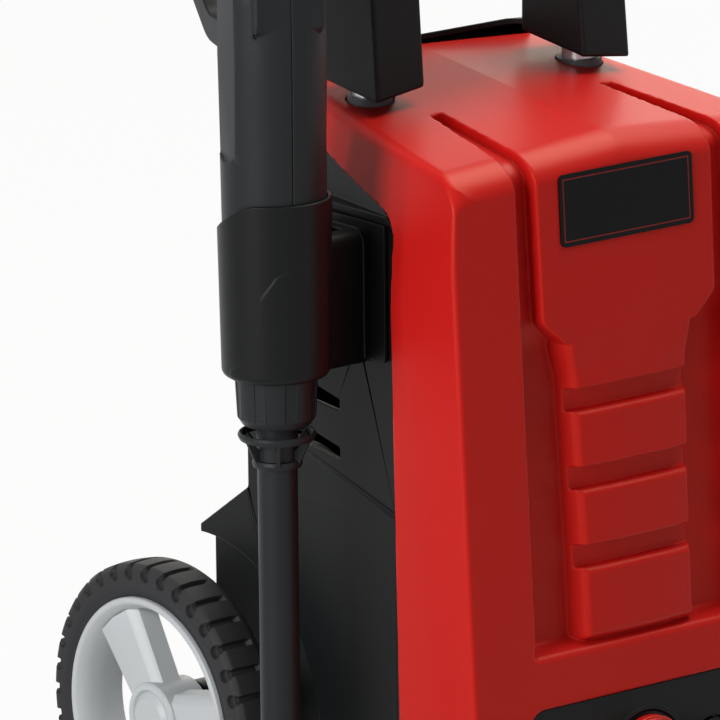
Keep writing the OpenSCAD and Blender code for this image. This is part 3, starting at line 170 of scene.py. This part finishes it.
def plastic(name, colour, rough, grain=0.00006, grain_scale=2600.0, mottle=0.06, gloss=0.5, coat=0.0,
            sheen=(1.0, 1.0, 1.0)):
    """Moulded plastic: a fine spark-eroded grain, faint flow mottling and handling marks."""
    made = Finish(name)
    flow = made.noise(14.0, 3.0, 0.55)
    dust = made.noise(160.0, 4.0, 0.6)
    light = tuple(min(1.0, c * (1 + mottle) + 0.002) for c in colour)
    dark = tuple(c * (1 - mottle) for c in colour)
    made.set(Base_Color=made.blend(flow, dark, light), Metallic=0.0, Coat_Weight=coat, Coat_Roughness=0.2)
    made.set(Roughness=rough - 0.04 + flow * 0.05 + dust * 0.05)
    made.shader.inputs["Specular IOR Level"].default_value = gloss
    made.shader.inputs["Specular Tint"].default_value = (*sheen, 1.0)
    fine = made.noise(grain_scale, 2.0, 0.6)
    made.set(Normal=made.relief(fine, grain, 0.6))
    return made.material


def metal(name, colour, rough, stretch=(1.0, 1.0, 1.0), grain=0.00002):
    """Turned or drawn metal, with fine lines along its run."""
    made = Finish(name)
    lines = made.noise(900.0, 3.0, 0.6, made.stretch(*stretch))
    cloud = made.noise(40.0, 3.0)
    made.set(Base_Color=made.blend(cloud, tuple(c * 0.86 for c in colour), colour), Metallic=1.0)
    made.set(Roughness=rough + lines * 0.12 + cloud * 0.06, Normal=made.relief(lines, grain, 0.5))
    return made.material


def label_print():
    """The bare black plate, with a thin red border line a little in from its edge."""
    made = Finish("Label_black")
    lean = math.radians(3.5)
    across = made.axis("X").maths("ABSOLUTE") - (LABEL_W / 2 - LABEL_INSET)
    up = (made.axis("Y") + 0.020) * math.sin(lean) + (made.axis("Z") - 0.340) * math.cos(lean) - 0.033
    edge = across.maths("MAXIMUM", up.maths("ABSOLUTE") - (LABEL_H / 2 - LABEL_INSET)).maths("ABSOLUTE")
    dust = made.noise(160.0, 4.0, 0.6)
    made.set(Base_Color=made.blend(edge.below(0.00032), (0.0022, 0.0022, 0.0024), (0.24, 0.022, 0.020)))
    made.set(Roughness=0.27 + dust * 0.06)
    made.shader.inputs["Specular IOR Level"].default_value = 0.1
    return made.material


LABEL_W, LABEL_H, LABEL_INSET = 0.086, 0.0365, 0.0026
RED = (0.53, 0.010, 0.009)
RED_GLOSS = (1.0, 0.66, 0.42)

FINISHES = {
    "red_plastic": plastic("Red_cover", RED, 0.38, grain=0.00004, mottle=0.04, gloss=0.22, sheen=RED_GLOSS),
    "dark_plastic": plastic("Black_housing", (0.0046, 0.0053, 0.0060), 0.37, grain=0.0001, gloss=0.13),
    "grip_plastic": plastic("Black_grip", (0.0065, 0.0070, 0.0078), 0.46, gloss=0.13, grain=0.00012,
                            grain_scale=1800.0),
    "gun_plastic": plastic("Gun_grey", (0.0125, 0.0145, 0.0165), 0.40, gloss=0.16, grain=0.00012,
                           grain_scale=2000.0),
    "inner_plastic": plastic("Inner_nylon", (0.05, 0.05, 0.055), 0.55),
    "label_black": label_print(),
    "rim_plastic": plastic("Rim_grey", (0.51, 0.55, 0.58), 0.40, grain=0.00004, mottle=0.03),
    "tyre_rubber": plastic("Tyre_rubber", (0.014, 0.015, 0.017), 0.62, gloss=0.3, grain=0.0002,
                           grain_scale=1200.0),
    "foot_rubber": plastic("Foot_rubber", (0.02, 0.02, 0.02), 0.7, grain=0.0002, grain_scale=1200.0),
    "red_trim": plastic("Red_trim", RED, 0.36, grain=0.00003, sheen=RED_GLOSS),
    "white_plastic": plastic("White_nylon", (0.72, 0.72, 0.69), 0.5),
    "steel": metal("Bright_steel", (0.62, 0.63, 0.65), 0.22, (1.0, 1.0, 0.05)),
    "core_steel": metal("Core_laminations", (0.25, 0.26, 0.28), 0.45, (0.02, 0.02, 1.0)),
    "copper": metal("Copper_wire", (0.75, 0.35, 0.16), 0.35, (0.1, 0.1, 1.0), 0.0003),
    "brass": metal("Turned_brass", (0.80, 0.60, 0.28), 0.26, (0.05, 1.0, 1.0)),
    "cast_alloy": metal("Cast_alloy", (0.62, 0.63, 0.64), 0.5, (1.0, 1.0, 1.0), 0.0002),
}


def paint(piece, slot):
    piece.data.materials.clear()
    piece.data.materials.append(FINISHES[slot])


# ---- edges ---------------------------------------------------------------------


# pieces whose faces are so full of slots and holes that rounding would tear them unless they are split first
SLOTTED = {"rear_housing", "gun_shell_left", "gun_shell_right", "outlet_fitting", "inlet_coupling"}


def clean_copy(node):
    """A node's mesh with its flat faces joined, ready for its edges to be rounded."""
    source = NODES[node]
    mesh = source.data.copy()
    piece = bpy.data.objects.new(node + "_dressed", mesh)
    bpy.context.scene.collection.objects.link(piece)
    work = bmesh.new()
    work.from_mesh(mesh)
    bmesh.ops.remove_doubles(work, verts=work.verts, dist=2e-6)
    bmesh.ops.dissolve_degenerate(work, dist=2e-6, edges=work.edges)
    bmesh.ops.dissolve_limit(work, angle_limit=math.radians(0.6), verts=work.verts, edges=work.edges,
                             delimit={"NORMAL"})
    if node in SLOTTED:
        bmesh.ops.triangulate(work, faces=[face for face in work.faces if len(face.verts) > 4])
    work.to_mesh(mesh)
    work.free()
    return piece


def round_edges(piece, radius, segments=3, angle=28.0, smooth=30.0):
    bevel = piece.modifiers.new("Edge", "BEVEL")
    bevel.width = radius
    bevel.segments = segments
    bevel.limit_method = "ANGLE"
    bevel.angle_limit = math.radians(angle)
    bevel.use_clamp_overlap = False
    bevel.miter_outer = "MITER_ARC"
    bevel.harden_normals = False
    for face in piece.data.polygons:
        face.use_smooth = True
    piece.data.set_sharp_from_angle(angle=math.radians(smooth))
    weight = piece.modifiers.new("Normals", "WEIGHTED_NORMAL")
    weight.keep_sharp = True
    return piece


def dress(node, radius):
    """A rounded copy of a node that stands for it and rides on its body."""
    piece = clean_copy(node)
    round_edges(piece, radius)
    paint(piece, SLOT_OF[node])
    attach(piece, BODY_OF[node])
    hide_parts(node)
    return piece


for node, obj in NODES.items():
    paint(obj, SLOT_OF[node])

EDGES = {
    "rear_housing": 0.7, "front_fascia": 0.8, "front_foot": 1.5,
    "cable_hook_lower": 1.2, "cable_hook_upper": 1.2, "handle_grip": 2.0, "gun_shell_left": 0.8,
    "gun_shell_right": 0.8, "nose_collar": 0.3, "trigger": 0.8, "trigger_lock": 0.4, "lance_collar": 0.35,
    "nozzle_tip": 0.3,
    "switch_knob": 0.8, "inlet_coupling": 0.5, "outlet_fitting": 0.4, "hose_nipple": 0.5, "hub_cap_left": 0.3,
    "hub_cap_right": 0.3, "cable_gland": 0.4,
}
for node, width in EDGES.items():
    dress(node, width * MM)


# ---- soft solids -----------------------------------------------------------------
# A moulded shape is a distance field in millimetres: below nought inside, above it outside.


def meet(a, b, r=0.0):
    """What two shapes share, its new edge rounded to a radius."""
    if np.isscalar(r) and r == 0.0:
        return np.maximum(a, b)
    return np.minimum(-r, np.maximum(a, b)) + np.hypot(np.maximum(a + r, 0), np.maximum(b + r, 0))


def join(a, b, r=0.0):
    """Two shapes together, with a fillet between them."""
    return -meet(-a, -b, r)


def cut(a, b, r=0.0):
    """The first shape without the second."""
    return meet(a, -b, r)


def ease(low, high, value):
    t = np.clip((value - low) / (high - low), 0, 1)
    return t * t * (3 - 2 * t)


def outline(u, v, corners):
    """Distance to a polygon."""
    nearest, inside = np.inf, False
    for (au, av), (bu, bv) in zip(corners, corners[1:] + corners[:1]):
        eu, ev, wu, wv = bu - au, bv - av, u - au, v - av
        t = np.clip((wu * eu + wv * ev) / (eu * eu + ev * ev), 0, 1)
        nearest = np.minimum(nearest, (wu - eu * t) ** 2 + (wv - ev * t) ** 2)
        if av != bv:
            inside = inside ^ (((av > v) != (bv > v)) & (u < eu * (v - av) / ev + au))
    return np.where(inside, -1.0, 1.0) * np.sqrt(nearest)


def oblong(u, v, half_u, half_v, r=0.0):
    """Distance to a rectangle with rounded corners."""
    a, b = abs(u) - half_u + r, abs(v) - half_v + r
    return np.hypot(np.maximum(a, 0), np.maximum(b, 0)) + np.minimum(np.maximum(a, b), 0) - r


def slope(field, points, step=0.03):
    """Unit normals of a field at points, and how fast it rises there."""
    rise = np.empty_like(points)
    for axis in range(3):
        nudge = np.zeros(3)
        nudge[axis] = step
        rise[:, axis] = (field(*(points + nudge).T) - field(*(points - nudge).T)) / (2 * step)
    steep = np.maximum(np.linalg.norm(rise, axis=1), 1e-6)
    return rise / steep[:, None], steep


def settle(field, points, reach, rounds=4):
    """Moves points onto a field's surface."""
    for _ in range(rounds):
        normal, steep = slope(field, points)
        move = np.clip(field(*points.T) / np.maximum(steep, 0.5), -reach, reach)
        points = points - normal * move[:, None]
    return points


def skin(field, low, high, cell):
    """Corners and quads of a field's surface within a box, one corner to each cell that it crosses."""
    axes = [np.arange(low[i] - 1.5 * cell, high[i] + 2.5 * cell, cell) for i in range(3)]
    value = np.array(np.broadcast_to(field(*np.meshgrid(*axes, indexing="ij", sparse=True)),
                                     [len(a) for a in axes]), dtype=np.float32)
    solid = value < 0
    span = [slice(0, -1), slice(1, None)]
    count = sum(solid[span[i], span[j], span[k]].astype(np.int8)
                for i in (0, 1) for j in (0, 1) for k in (0, 1))
    crossed = (count > 0) & (count < 8)
    number = np.full(crossed.shape, -1, dtype=np.int64)
    number[crossed] = np.arange(crossed.sum())
    at = np.argwhere(crossed)
    total, hits = np.zeros((len(at), 3)), np.zeros(len(at))
    for axis in range(3):
        for side in range(4):
            start = np.array([0, 0, 0])
            start[(axis + 1) % 3], start[(axis + 2) % 3] = side & 1, side >> 1
            end = start.copy()
            end[axis] = 1
            va, vb = value[tuple((at + start).T)], value[tuple((at + end).T)]
            cross = (va < 0) != (vb < 0)
            share = np.where(cross, va / np.where(cross, va - vb, 1), 0)
            total += cross[:, None] * (start + share[:, None] * (end - start))
            hits += cross
    points = np.array([a[0] for a in axes]) + (at + total / hits[:, None]) * cell
    quads = []
    for axis in range(3):
        u, v = (axis + 1) % 3, (axis + 2) % 3
        near, far = [slice(None)] * 3, [slice(None)] * 3
        near[axis], far[axis] = slice(0, -1), slice(1, None)
        change = solid[tuple(near)] != solid[tuple(far)]
        edge = np.argwhere(change)
        edge = edge[(edge[:, u] > 0) & (edge[:, v] > 0) & (edge[:, u] < value.shape[u] - 1)
                    & (edge[:, v] < value.shape[v] - 1)]
        ring = []
        for du, dv in ((-1, -1), (0, -1), (0, 0), (-1, 0)):
            cell_at = edge.copy()
            cell_at[:, u] += du
            cell_at[:, v] += dv
            ring.append(number[tuple(cell_at.T)])
        ring = np.stack(ring, axis=1)
        outward = solid[tuple(edge.T)]
        quads.append(np.where(outward[:, None], ring, ring[:, ::-1]))
    return points, np.concatenate(quads)


def mould(name, field, low, high, cell, slot, body, keep=0.3, nodes=()):
    """A piece whose surface is a field's, thinned where it is flat, with the field's own normals."""
    points, quads = skin(field, low, high, cell)
    points = settle(field, points, cell * 0.6)
    mesh = bpy.data.meshes.new(name)
    mesh.vertices.add(len(points))
    mesh.vertices.foreach_set("co", (points * MM).ravel())
    mesh.loops.add(quads.size)
    mesh.loops.foreach_set("vertex_index", quads.ravel())
    mesh.polygons.add(len(quads))
    mesh.polygons.foreach_set("loop_start", np.arange(0, quads.size, 4))
    mesh.update(calc_edges=True)
    piece = bpy.data.objects.new(name, mesh)
    bpy.context.scene.collection.objects.link(piece)
    thin = piece.modifiers.new("Thin", "DECIMATE")
    thin.ratio = keep
    piece.data = bpy.data.meshes.new_from_object(piece.evaluated_get(bpy.context.evaluated_depsgraph_get()))
    piece.modifiers.clear()
    piece.data.name = name
    mesh = piece.data
    points = np.empty(len(mesh.vertices) * 3)
    mesh.vertices.foreach_get("co", points)
    points = settle(field, points.reshape(-1, 3) / MM, cell * 0.3, 2)
    mesh.vertices.foreach_set("co", (points * MM).ravel())
    mesh.polygons.foreach_set("use_smooth", np.ones(len(mesh.polygons), dtype=bool))
    mesh.normals_split_custom_set_from_vertices(slope(field, points)[0])
    mesh.update()
    paint(piece, slot)
    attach(piece, body)
    if nodes:
        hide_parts(*nodes)
    return piece


# ---- front cover -------------------------------------------------------------------

LEAN = math.radians(3.5)
TOP_SLOPE = math.radians(7)
FACE_Y, LEAN_Z, TOP_Z = -20.0, 340.0, 411.0
HALF_W = 111.0
WALL = 3.0
JOG = -22.0
BOW = 420.0
SLAB_CHAMFER = 2.3
RIB_GAP, RIB_PITCH = 11.5, 40.0


def off_face(y, z):
    """Depth behind the leaning front face, and height up it."""
    return ((y - FACE_Y) * math.cos(LEAN) - (z - LEAN_Z) * math.sin(LEAN),
            (y - FACE_Y) * math.sin(LEAN) + (z - LEAN_Z) * math.cos(LEAN))


def body_top(x, y, z):
    """Height over the crowned top, which falls towards both sides."""
    up = (z - TOP_Z) * math.cos(TOP_SLOPE) - (y + 5) * math.sin(TOP_SLOPE)
    fall = 0.1300 * (abs(x) - 50) + 0.9915 * up
    return meet(up, fall, 30)


def body_side(x, y, z):
    """Distance outside the sides and their shoulders."""
    shoulder = 0.95802 * (abs(x) - HALF_W) + 0.14436 * (y + 15) + 0.24776 * (z - 401)
    return meet(abs(x) - HALF_W, shoulder, 14)


def panel_half(y, up):
    """Half width of the centre panel's upper part, which narrows over the top."""
    return np.minimum(56 + (up - JOG) * 0.0116, 57 - (y + 6) * 0.104)


def groove_half(y):
    """Half width between the outer walls of the two grooves."""
    return np.minimum(70, 69.2 - 0.165 * y)


def slab_front(x, up):
    """How far the ribbed slab's bowed front falls behind the leaning face."""
    return (BOW - np.sqrt(BOW ** 2 - np.minimum(abs(x), 200) ** 2)) * ease(-30, -56, up)


def centre_panel(x, y, depth, up):
    stepped = ((abs(x) - 56) * 12 - (up - JOG) * 14) / 18.44
    upper = meet(meet(abs(x) - panel_half(y, up), stepped, 2), JOG - 12 - up)
    front = depth - slab_front(x, up)
    half = 35 + 1.8 * ease(-150, -57, up) + 3.4 * ease(-57, -34, up)
    plan = meet(abs(x) - half, -(up + 186), 2)
    lower = plan - 0.45 * np.maximum(front - SLAB_CHAMFER, 0)
    lower = meet(lower, (plan + SLAB_CHAMFER - front) * 0.7071, 0.6)
    lower = meet(meet(lower, -front, 0.6), up - JOG + 4)
    return join(upper - 0.02 * depth, lower, 0.5)


def cover_recess(x, y, z):
    """Air between the pillars and the centre panel, and the two grooves over the top."""
    depth, up = off_face(y, z)
    deep = 13 - 4 * ease(303, 319, z)
    core = meet(body_top(x, y, z) + 7, deep - depth, 11)
    air = meet(meet(-core, abs(x) - groove_half(y), 1.2), -(up + 190 - 0.35 * np.clip(depth, 0, 13)), 2.5)
    air = meet(air, y - 64, 0.8)
    return cut(air, centre_panel(x, y, depth, up), 0.8)


def rib_groove(x, depth, up, middle):
    """One groove across the slab, its lower edge chamfered."""
    front = depth - slab_front(x, up)
    low = middle - RIB_GAP / 2 - up
    mouth = join(low, (low + front - SLAB_CHAMFER) * 0.7071, 0.8)
    return meet(meet(meet(front - 7, up - middle - RIB_GAP / 2, 1.6), mouth, 1.2), abs(x) - 60)


def cover_form(x, y, z):
    depth, up = off_face(y, z)
    top, side = body_top(x, y, z), body_side(x, y, z)
    form = meet(top, side, 7)
    form = meet(form, -depth, 2.8 + 15.2 * ease(-20, 6, top - side))
    middle = 0.5 * (panel_half(y, up) + groove_half(y))
    soft = 0.7 + 1.1 * ease(-1, 1, middle - abs(x)) * ease(12, -8, y) * ease(JOG - 12, JOG, up)
    soft = soft + 2.2 * ease(-182, -188, up)
    form = cut(form, cover_recess(x, y, z), soft)
    for i in range(3):
        form = cut(form, rib_groove(x, depth, up, JOG - 36 - RIB_GAP / 2 - RIB_PITCH * i), 0.8)
    return form


def front_cover(x, y, z):
    form = cover_form(x, y, z)
    split = outline(y, z, [(-90, 46), (26, 46), (32, 362), (37, 369.8), (42, 373), (148, 405.5), (148, 600),
                           (-90, 600)])
    cavity = meet(form + WALL, 46 + WALL - z)
    shell = cut(meet(form, split, 0.7), cavity, 0.4)
    window = meet(oblong(x, z - 57.15, 75.3, 67.15, 10), y - 10)
    shell = cut(shell, window, 0.8)
    leg_hole = meet(np.hypot(abs(x) - 68, y - 100) - 12, 300 - z)
    return cut(shell, leg_hole, 0.5)


mould("Front_cover", front_cover, (-112, -40, 44), (112, 150, 432), 1.2, "red_plastic", "machine", 0.3,
      ("front_cover",))


# ---- gun holder ----------------------------------------------------------------------

GUN_X, GUN_Y = -165.0, 54.0
SLEEVE_LOW, SLEEVE_LIP = 297.0, 388.0


def round_gun(x, y):
    """Distance from the gun's axis, and the angle round it from the front, left being negative."""
    return np.hypot(x - GUN_X, y - GUN_Y), np.arctan2(x - GUN_X, GUN_Y - y)


def sleeve_lip(turn):
    """Height of the sleeve's lip, which dips towards the outer back."""
    away = np.maximum(np.cos(turn - math.radians(-142)), 0)
    return SLEEVE_LIP - 17 * away ** 2


def gun_holder(x, y, z):
    radius, turn = round_gun(x, y)
    swell = 27.4 + 1.6 * np.clip((z - 301) / 88, 0, 1)
    panel = outline(turn * 28, z, [(-46, 303), (-36, 308), (-30, 317), (-27, 327), (-26, 341), (-18, 352),
                                   (-9, 357), (1, 358), (8, 355), (13, 348), (15.5, 338), (15.5, 290),
                                   (-46, 290)])
    sleeve = meet(radius - swell + 0.35 - 0.35 * ease(0.7, -0.7, panel), SLEEVE_LOW - z, 4)
    block = meet(oblong(y - 70.5, z - 327, 17.5, 34, 3), abs(x + 131) - 23)
    block = meet(block, meet(z - 361, 53 - y, 7))
    pad = meet(oblong(y - 64.5, z - 331, 27.5, 35, 2), abs(x + 109) - 1)
    solid = join(join(sleeve, block, 1.5), pad, 1.0)
    solid = meet(solid, np.where(radius < 31, z - sleeve_lip(turn), z - 367), 0.6)
    under = meet(radius - 28.4, z - SLEEVE_LOW)
    bore = meet(radius - (25.75 + 0.6 * np.clip((z - 302) / 80, 0, 1)), 302 - z)
    solid = cut(cut(solid, under), np.minimum(bore, radius - 21.8), 0.4)
    slot = meet(oblong(x + 124, y - 67, 8, 4, 1), 355 - z)
    return cut(solid, slot, 0.5)


mould("Gun_holder", gun_holder, (-195, 23, 285), (-107, 94, 391), 0.7, "dark_plastic", "machine", 0.3,
      ("gun_holder",))


# ---- wheels ----------------------------------------------------------------------


def link(name, work, slot, body, sharp=30.0):
    """Turns a bmesh into a smooth piece that rides on a body."""
    bmesh.ops.recalc_face_normals(work, faces=work.faces)
    mesh = bpy.data.meshes.new(name)
    work.to_mesh(mesh)
    work.free()
    for face in mesh.polygons:
        face.use_smooth = True
    mesh.set_sharp_from_angle(angle=math.radians(sharp))
    piece = bpy.data.objects.new(name, mesh)
    bpy.context.scene.collection.objects.link(piece)
    paint(piece, slot)
    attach(piece, body)
    return piece


def grid(work, rows, close_rows=True, close_columns=True):
    """Faces over a table of points; the table may close on itself either way."""
    verts = [[work.verts.new(point) for point in row] for row in rows]
    count, across = len(rows), len(rows[0])
    for i in range(count if close_rows else count - 1):
        for j in range(across if close_columns else across - 1):
            a, b = verts[i], verts[(i + 1) % count]
            k = (j + 1) % across
            work.faces.new((a[j], a[k], b[k], b[j]))
    return verts


def smoothstep(low, high, value):
    t = min(1.0, max(0.0, (value - low) / (high - low)))
    return t * t * (3 - 2 * t)


WHEEL_DEPTH = 29.8


class Wheel:
    """Places points of a wheel by radius, distance from its inner face and angle behind the vertical."""

    def __init__(self, side):
        low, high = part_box("tyre_" + side)
        self.side, self.body = side, "wheel_" + side
        self.out = -1 if side == "left" else 1
        self.inner = high.x if side == "left" else low.x
        self.width = high.x - low.x
        self.y, self.z = (low.y + high.y) / 2, (low.z + high.z) / 2
        self.radius = (high.z - low.z) / 2
        # Depths are counted from the tyre's box, which starts 2 mm outside the wheel's inner face, so both
        # wheels stand 2 mm far out. The right one is narrowed to stay within the washer's outer size.
        self.fit = 1.0 if side == "left" else self.width / MM / WHEEL_DEPTH

    def at(self, r, depth, angle):
        return (self.inner + self.out * depth * self.fit * MM, self.y + r * MM * math.sin(angle),
                self.z + r * MM * math.cos(angle))

    def lathe(self, work, profile, steps=144):
        grid(work, [[self.at(r, d, 2 * math.pi * i / steps) for r, d in profile] for i in range(steps)])


LUGS = 36
TREAD_LOW = 9.0
POCKET_R = 73.5


def tyre_profile():
    """Section of the tyre as (radius, depth), from bead to bead."""
    side = [(59.4, 21.6), (61.0, 23.0), (63.4, 25.0), (64.35, 26.0), (64.4, 27.0), (65.4, 27.6), (67.2, 27.7),
            (68.2, 28.2), (69.4, 28.8), (71.0, 28.95)]
    lip = [(72.0 + 0.55 * i, 28.97) for i in range(9)]
    shoulder = [(77.4, 28.9), (78.4, 28.6), (79.3, 28.0), (80.2, 27.0), (80.9, 26.2)]
    crown = [(81.2 + 0.8 * math.sin(math.pi * (i + 1) / 18), 25.6 - 1.15 * i) for i in range(17)]
    inner = [(81.0, 6.2), (80.5, 6.0), (80.4, 5.0), (79.2, 3.4), (77.5, 2.4), (75.5, 2.1), (70.0, 2.7),
             (64.0, 5.2), (61.2, 6.4), (59.4, 8.3)]
    return side + lip + shoulder + crown + inner


def make_tyre(wheel):
    work = bmesh.new()
    pitch = 2 * math.pi / LUGS
    profile = tyre_profile()
    steps = [-0.5, -0.36, -0.25, -0.215, -0.185, -0.14, -0.115, -0.09, -0.05, 0, 0.05, 0.09, 0.115, 0.14,
             0.185, 0.215, 0.25, 0.36]
    rows = []
    for lug in range(LUGS):
        for step in steps:
            angle = (lug + step) * pitch
            off = abs(step) * pitch * wheel.radius / MM
            row = []
            for r, d in profile:
                groove = 1 - smoothstep(1.35, 1.85, off)
                if r > 80.8 and d < 25.7:
                    cut = groove * smoothstep(TREAD_LOW, TREAD_LOW + 0.9, d)
                    row.append(wheel.at(r - 2.6 * cut, d, angle))
                elif d > 25.9 and r > 76.8:
                    blend = smoothstep(76.8, 80.9, r)
                    reach = 3.3 * (1 - blend) + 1.6 * blend
                    cut = 1 - smoothstep(reach - 0.3, reach + 0.35, off)
                    row.append(wheel.at(r - 2.6 * cut * blend, d - 2.0 * cut * (1 - 0.6 * blend), angle))
                elif d > 28.9 and r > 71.5:
                    fall = max(0.0, (POCKET_R + 3.0 - r)) / 3.3
                    reach = 3.3 * math.sqrt(max(0.0, 1 - fall * fall))
                    cut = (1 - smoothstep(reach - 0.3, reach + 0.35, off)) * (reach > 0.2)
                    row.append(wheel.at(r, d - 2.0 * cut, angle))
                else:
                    row.append(wheel.at(r, d, angle))
            rows.append(row)
    grid(work, rows)
    piece = link("Tyre_" + wheel.side, work, "tyre_rubber", wheel.body, 40.0)
    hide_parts("tyre_" + wheel.side)


SPOKE_TURNS = [36, 156, 276]


def make_rim(wheel):
    work = bmesh.new()
    wheel.lathe(work, [(59.2, 8.4), (59.2, 21.4), (62.0, 24.2), (64.2, 25.8), (64.3, 28.6), (63.9, 29.3),
                       (63.2, 29.7), (62.2, 29.75), (61.2, 29.4), (60.4, 28.6), (58.6, 25.6), (57.0, 21.5),
                       (56.2, 14.0), (56.0, 2.6), (56.4, 2.1), (60.4, 2.1), (60.9, 2.6), (60.9, 6.2)])
    for turn in SPOKE_TURNS:
        middle = math.radians(turn)

        def corner(along, across, depth):
            angle = middle + math.atan2(across, along)
            return wheel.at(math.hypot(along, across), depth, angle)

        # flat face, wide bevel, then the drafted flank
        levels = [(24.2, 8.6, 12.4), (24.0, 9.2, 13.0), (20.4, 12.6, 17.2), (19.8, 13.0, 17.7),
                  (9.6, 13.8, 18.6)]
        rows = []
        for depth, near, far in levels:
            reach = math.sqrt(57.6 ** 2 - far ** 2)
            rows.append([corner(10, -near, depth), corner(reach, -far, depth), corner(57.6, 0, depth),
                         corner(reach, far, depth), corner(10, near, depth)])
        verts = grid(work, rows, close_rows=False)
        work.faces.new(verts[0])
        work.faces.new(verts[-1])
    wheel.lathe(work, [(6.1, 1.0), (17.6, 1.0), (18.8, 2.0), (19.4, 14.0), (19.0, 25.4), (18.2, 26.4),
                       (16.6, 26.9), (15.4, 26.6), (14.6, 25.6), (14.1, 21.4), (6.1, 21.2)], 72)
    piece = link("Rim_" + wheel.side, work, "rim_plastic", wheel.body, 32.0)
    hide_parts("wheel_rim_" + wheel.side)


for side in ("left", "right"):
    wheel = Wheel(side)
    make_tyre(wheel)
    make_rim(wheel)


# ---- room, light and camera --------------------------------------------------------


def seen_plainly(made):
    """1 for what the eye sees straight, in a reflection or through something clear."""
    path = made.tree.nodes.new("ShaderNodeLightPath")
    return (Val(made, path.outputs["Is Camera Ray"]) + Val(made, path.outputs["Is Glossy Ray"])
            + Val(made, path.outputs["Is Transmission Ray"])).maths("MINIMUM", 1.0)


def make_floor():
    mesh = bpy.data.meshes.new("Floor")
    far = FLOOR_REACH
    mesh.from_pydata([(-far, -far, 0), (far, -far, 0), (far, far, 0), (-far, far, 0)], [], [(0, 1, 2, 3)])
    floor = bpy.data.objects.new("Floor", mesh)
    bpy.context.scene.collection.objects.link(floor)
    made = Finish("Pale_floor")
    spots = made.noise(3.0, 2.0)
    made.set(Base_Color=made.blend(spots, (0.50, 0.50, 0.50), (0.54, 0.54, 0.54)), Roughness=0.9)
    glow = made.tree.nodes.new("ShaderNodeEmission")
    mix = made.tree.nodes.new("ShaderNodeMixShader")
    made.feed(mix.inputs[0], seen_plainly(made) * FLOOR_WHITE)
    made.tree.links.new(made.shader.outputs[0], mix.inputs[1])
    made.tree.links.new(glow.outputs[0], mix.inputs[2])
    made.tree.links.new(mix.outputs[0], made.tree.nodes["Material Output"].inputs["Surface"])
    mesh.materials.append(made.material)


class Sky:
    """The world's node tree, written the way a material is."""

    def __init__(self):
        self.world = bpy.data.worlds.new("Studio")
        self.world.use_nodes = True
        self.tree = self.world.node_tree

    feed = Finish.feed


def make_world():
    sky = Sky()
    bpy.context.scene.world = sky.world
    tree = sky.tree
    soft = tree.nodes["Background"]
    soft.inputs["Color"].default_value = (1, 1, 1, 1)
    soft.inputs["Strength"].default_value = WORLD_LIGHT
    white = tree.nodes.new("ShaderNodeBackground")
    white.inputs["Color"].default_value = (1, 1, 1, 1)
    white.inputs["Strength"].default_value = 1.0
    mix = tree.nodes.new("ShaderNodeMixShader")
    tree.links.new(seen_plainly(sky).socket, mix.inputs[0])
    tree.links.new(soft.outputs[0], mix.inputs[1])
    tree.links.new(white.outputs[0], mix.inputs[2])
    tree.links.new(mix.outputs[0], tree.nodes["World Output"].inputs["Surface"])


def lamp(name, place, target, size, power, colour=(1.0, 1.0, 1.0)):
    data = bpy.data.lights.new(name, "AREA")
    data.shape = "RECTANGLE"
    data.size, data.size_y = size
    data.energy = power
    data.color = colour
    obj = bpy.data.objects.new(name, data)
    bpy.context.scene.collection.objects.link(obj)
    obj.location = place
    obj.rotation_mode = "QUATERNION"
    obj.rotation_quaternion = (Vector(target) - Vector(place)).to_track_quat("-Z", "Y")
    return obj


WORLD_LIGHT = 0.07
FLOOR_WHITE = 0.94
FLOOR_REACH = 14.0
make_floor()
make_world()
middle = (0.0, 0.07, 0.3)
lamp("Overhead", (0.7, 0.1, 2.2), middle, (1.5, 1.5), 46.0, (1.0, 0.94, 0.86))
lamp("Left", (-2.3, -0.6, 1.0), middle, (0.7, 1.4), 38.0, (1.0, 0.95, 0.90))
lamp("Strip", (-2.2, 0.1, 0.8), middle, (0.22, 1.3), 10.0, (0.93, 0.96, 1.0))
lamp("Rear", (1.7, 1.9, 0.95), middle, (1.5, 0.8), 7.0, (1.0, 0.92, 0.72))


def make_camera():
    """A long lens from the front left, a little above the cover."""
    turn, lift, roll = math.radians(-38.2), math.radians(14.5), math.radians(-0.594)
    distance, focal, sensor = 4.5, 9000 / 720 * 36, 36.0
    toward = Vector((math.sin(turn) * math.cos(lift), -math.cos(turn) * math.cos(lift), math.sin(lift)))
    right = Vector((math.cos(turn), math.sin(turn), 0))
    up = toward.cross(right)
    tilted_right = right * math.cos(roll) + up * math.sin(roll)
    tilted_up = up * math.cos(roll) - right * math.sin(roll)
    aim = Vector((0, -0.0164, 0.250))
    per_px = distance / 9000
    centre = aim + toward * distance - tilted_right * (624.458 - 360) * per_px + tilted_up * (
        437.493 - 360) * per_px
    data = bpy.data.cameras.new("Camera")
    data.sensor_width = sensor
    data.lens = focal
    data.clip_start, data.clip_end = 0.05, 60.0
    camera = bpy.data.objects.new("Camera", data)
    bpy.context.scene.collection.objects.link(camera)
    camera.matrix_world = Matrix((
        (tilted_right.x, tilted_up.x, toward.x, centre.x), (tilted_right.y, tilted_up.y, toward.y, centre.y),
        (tilted_right.z, tilted_up.z, toward.z, centre.z), (0, 0, 0, 1)))
    bpy.context.scene.camera = camera


make_camera()
bpy.context.scene.view_settings.view_transform = "Standard"
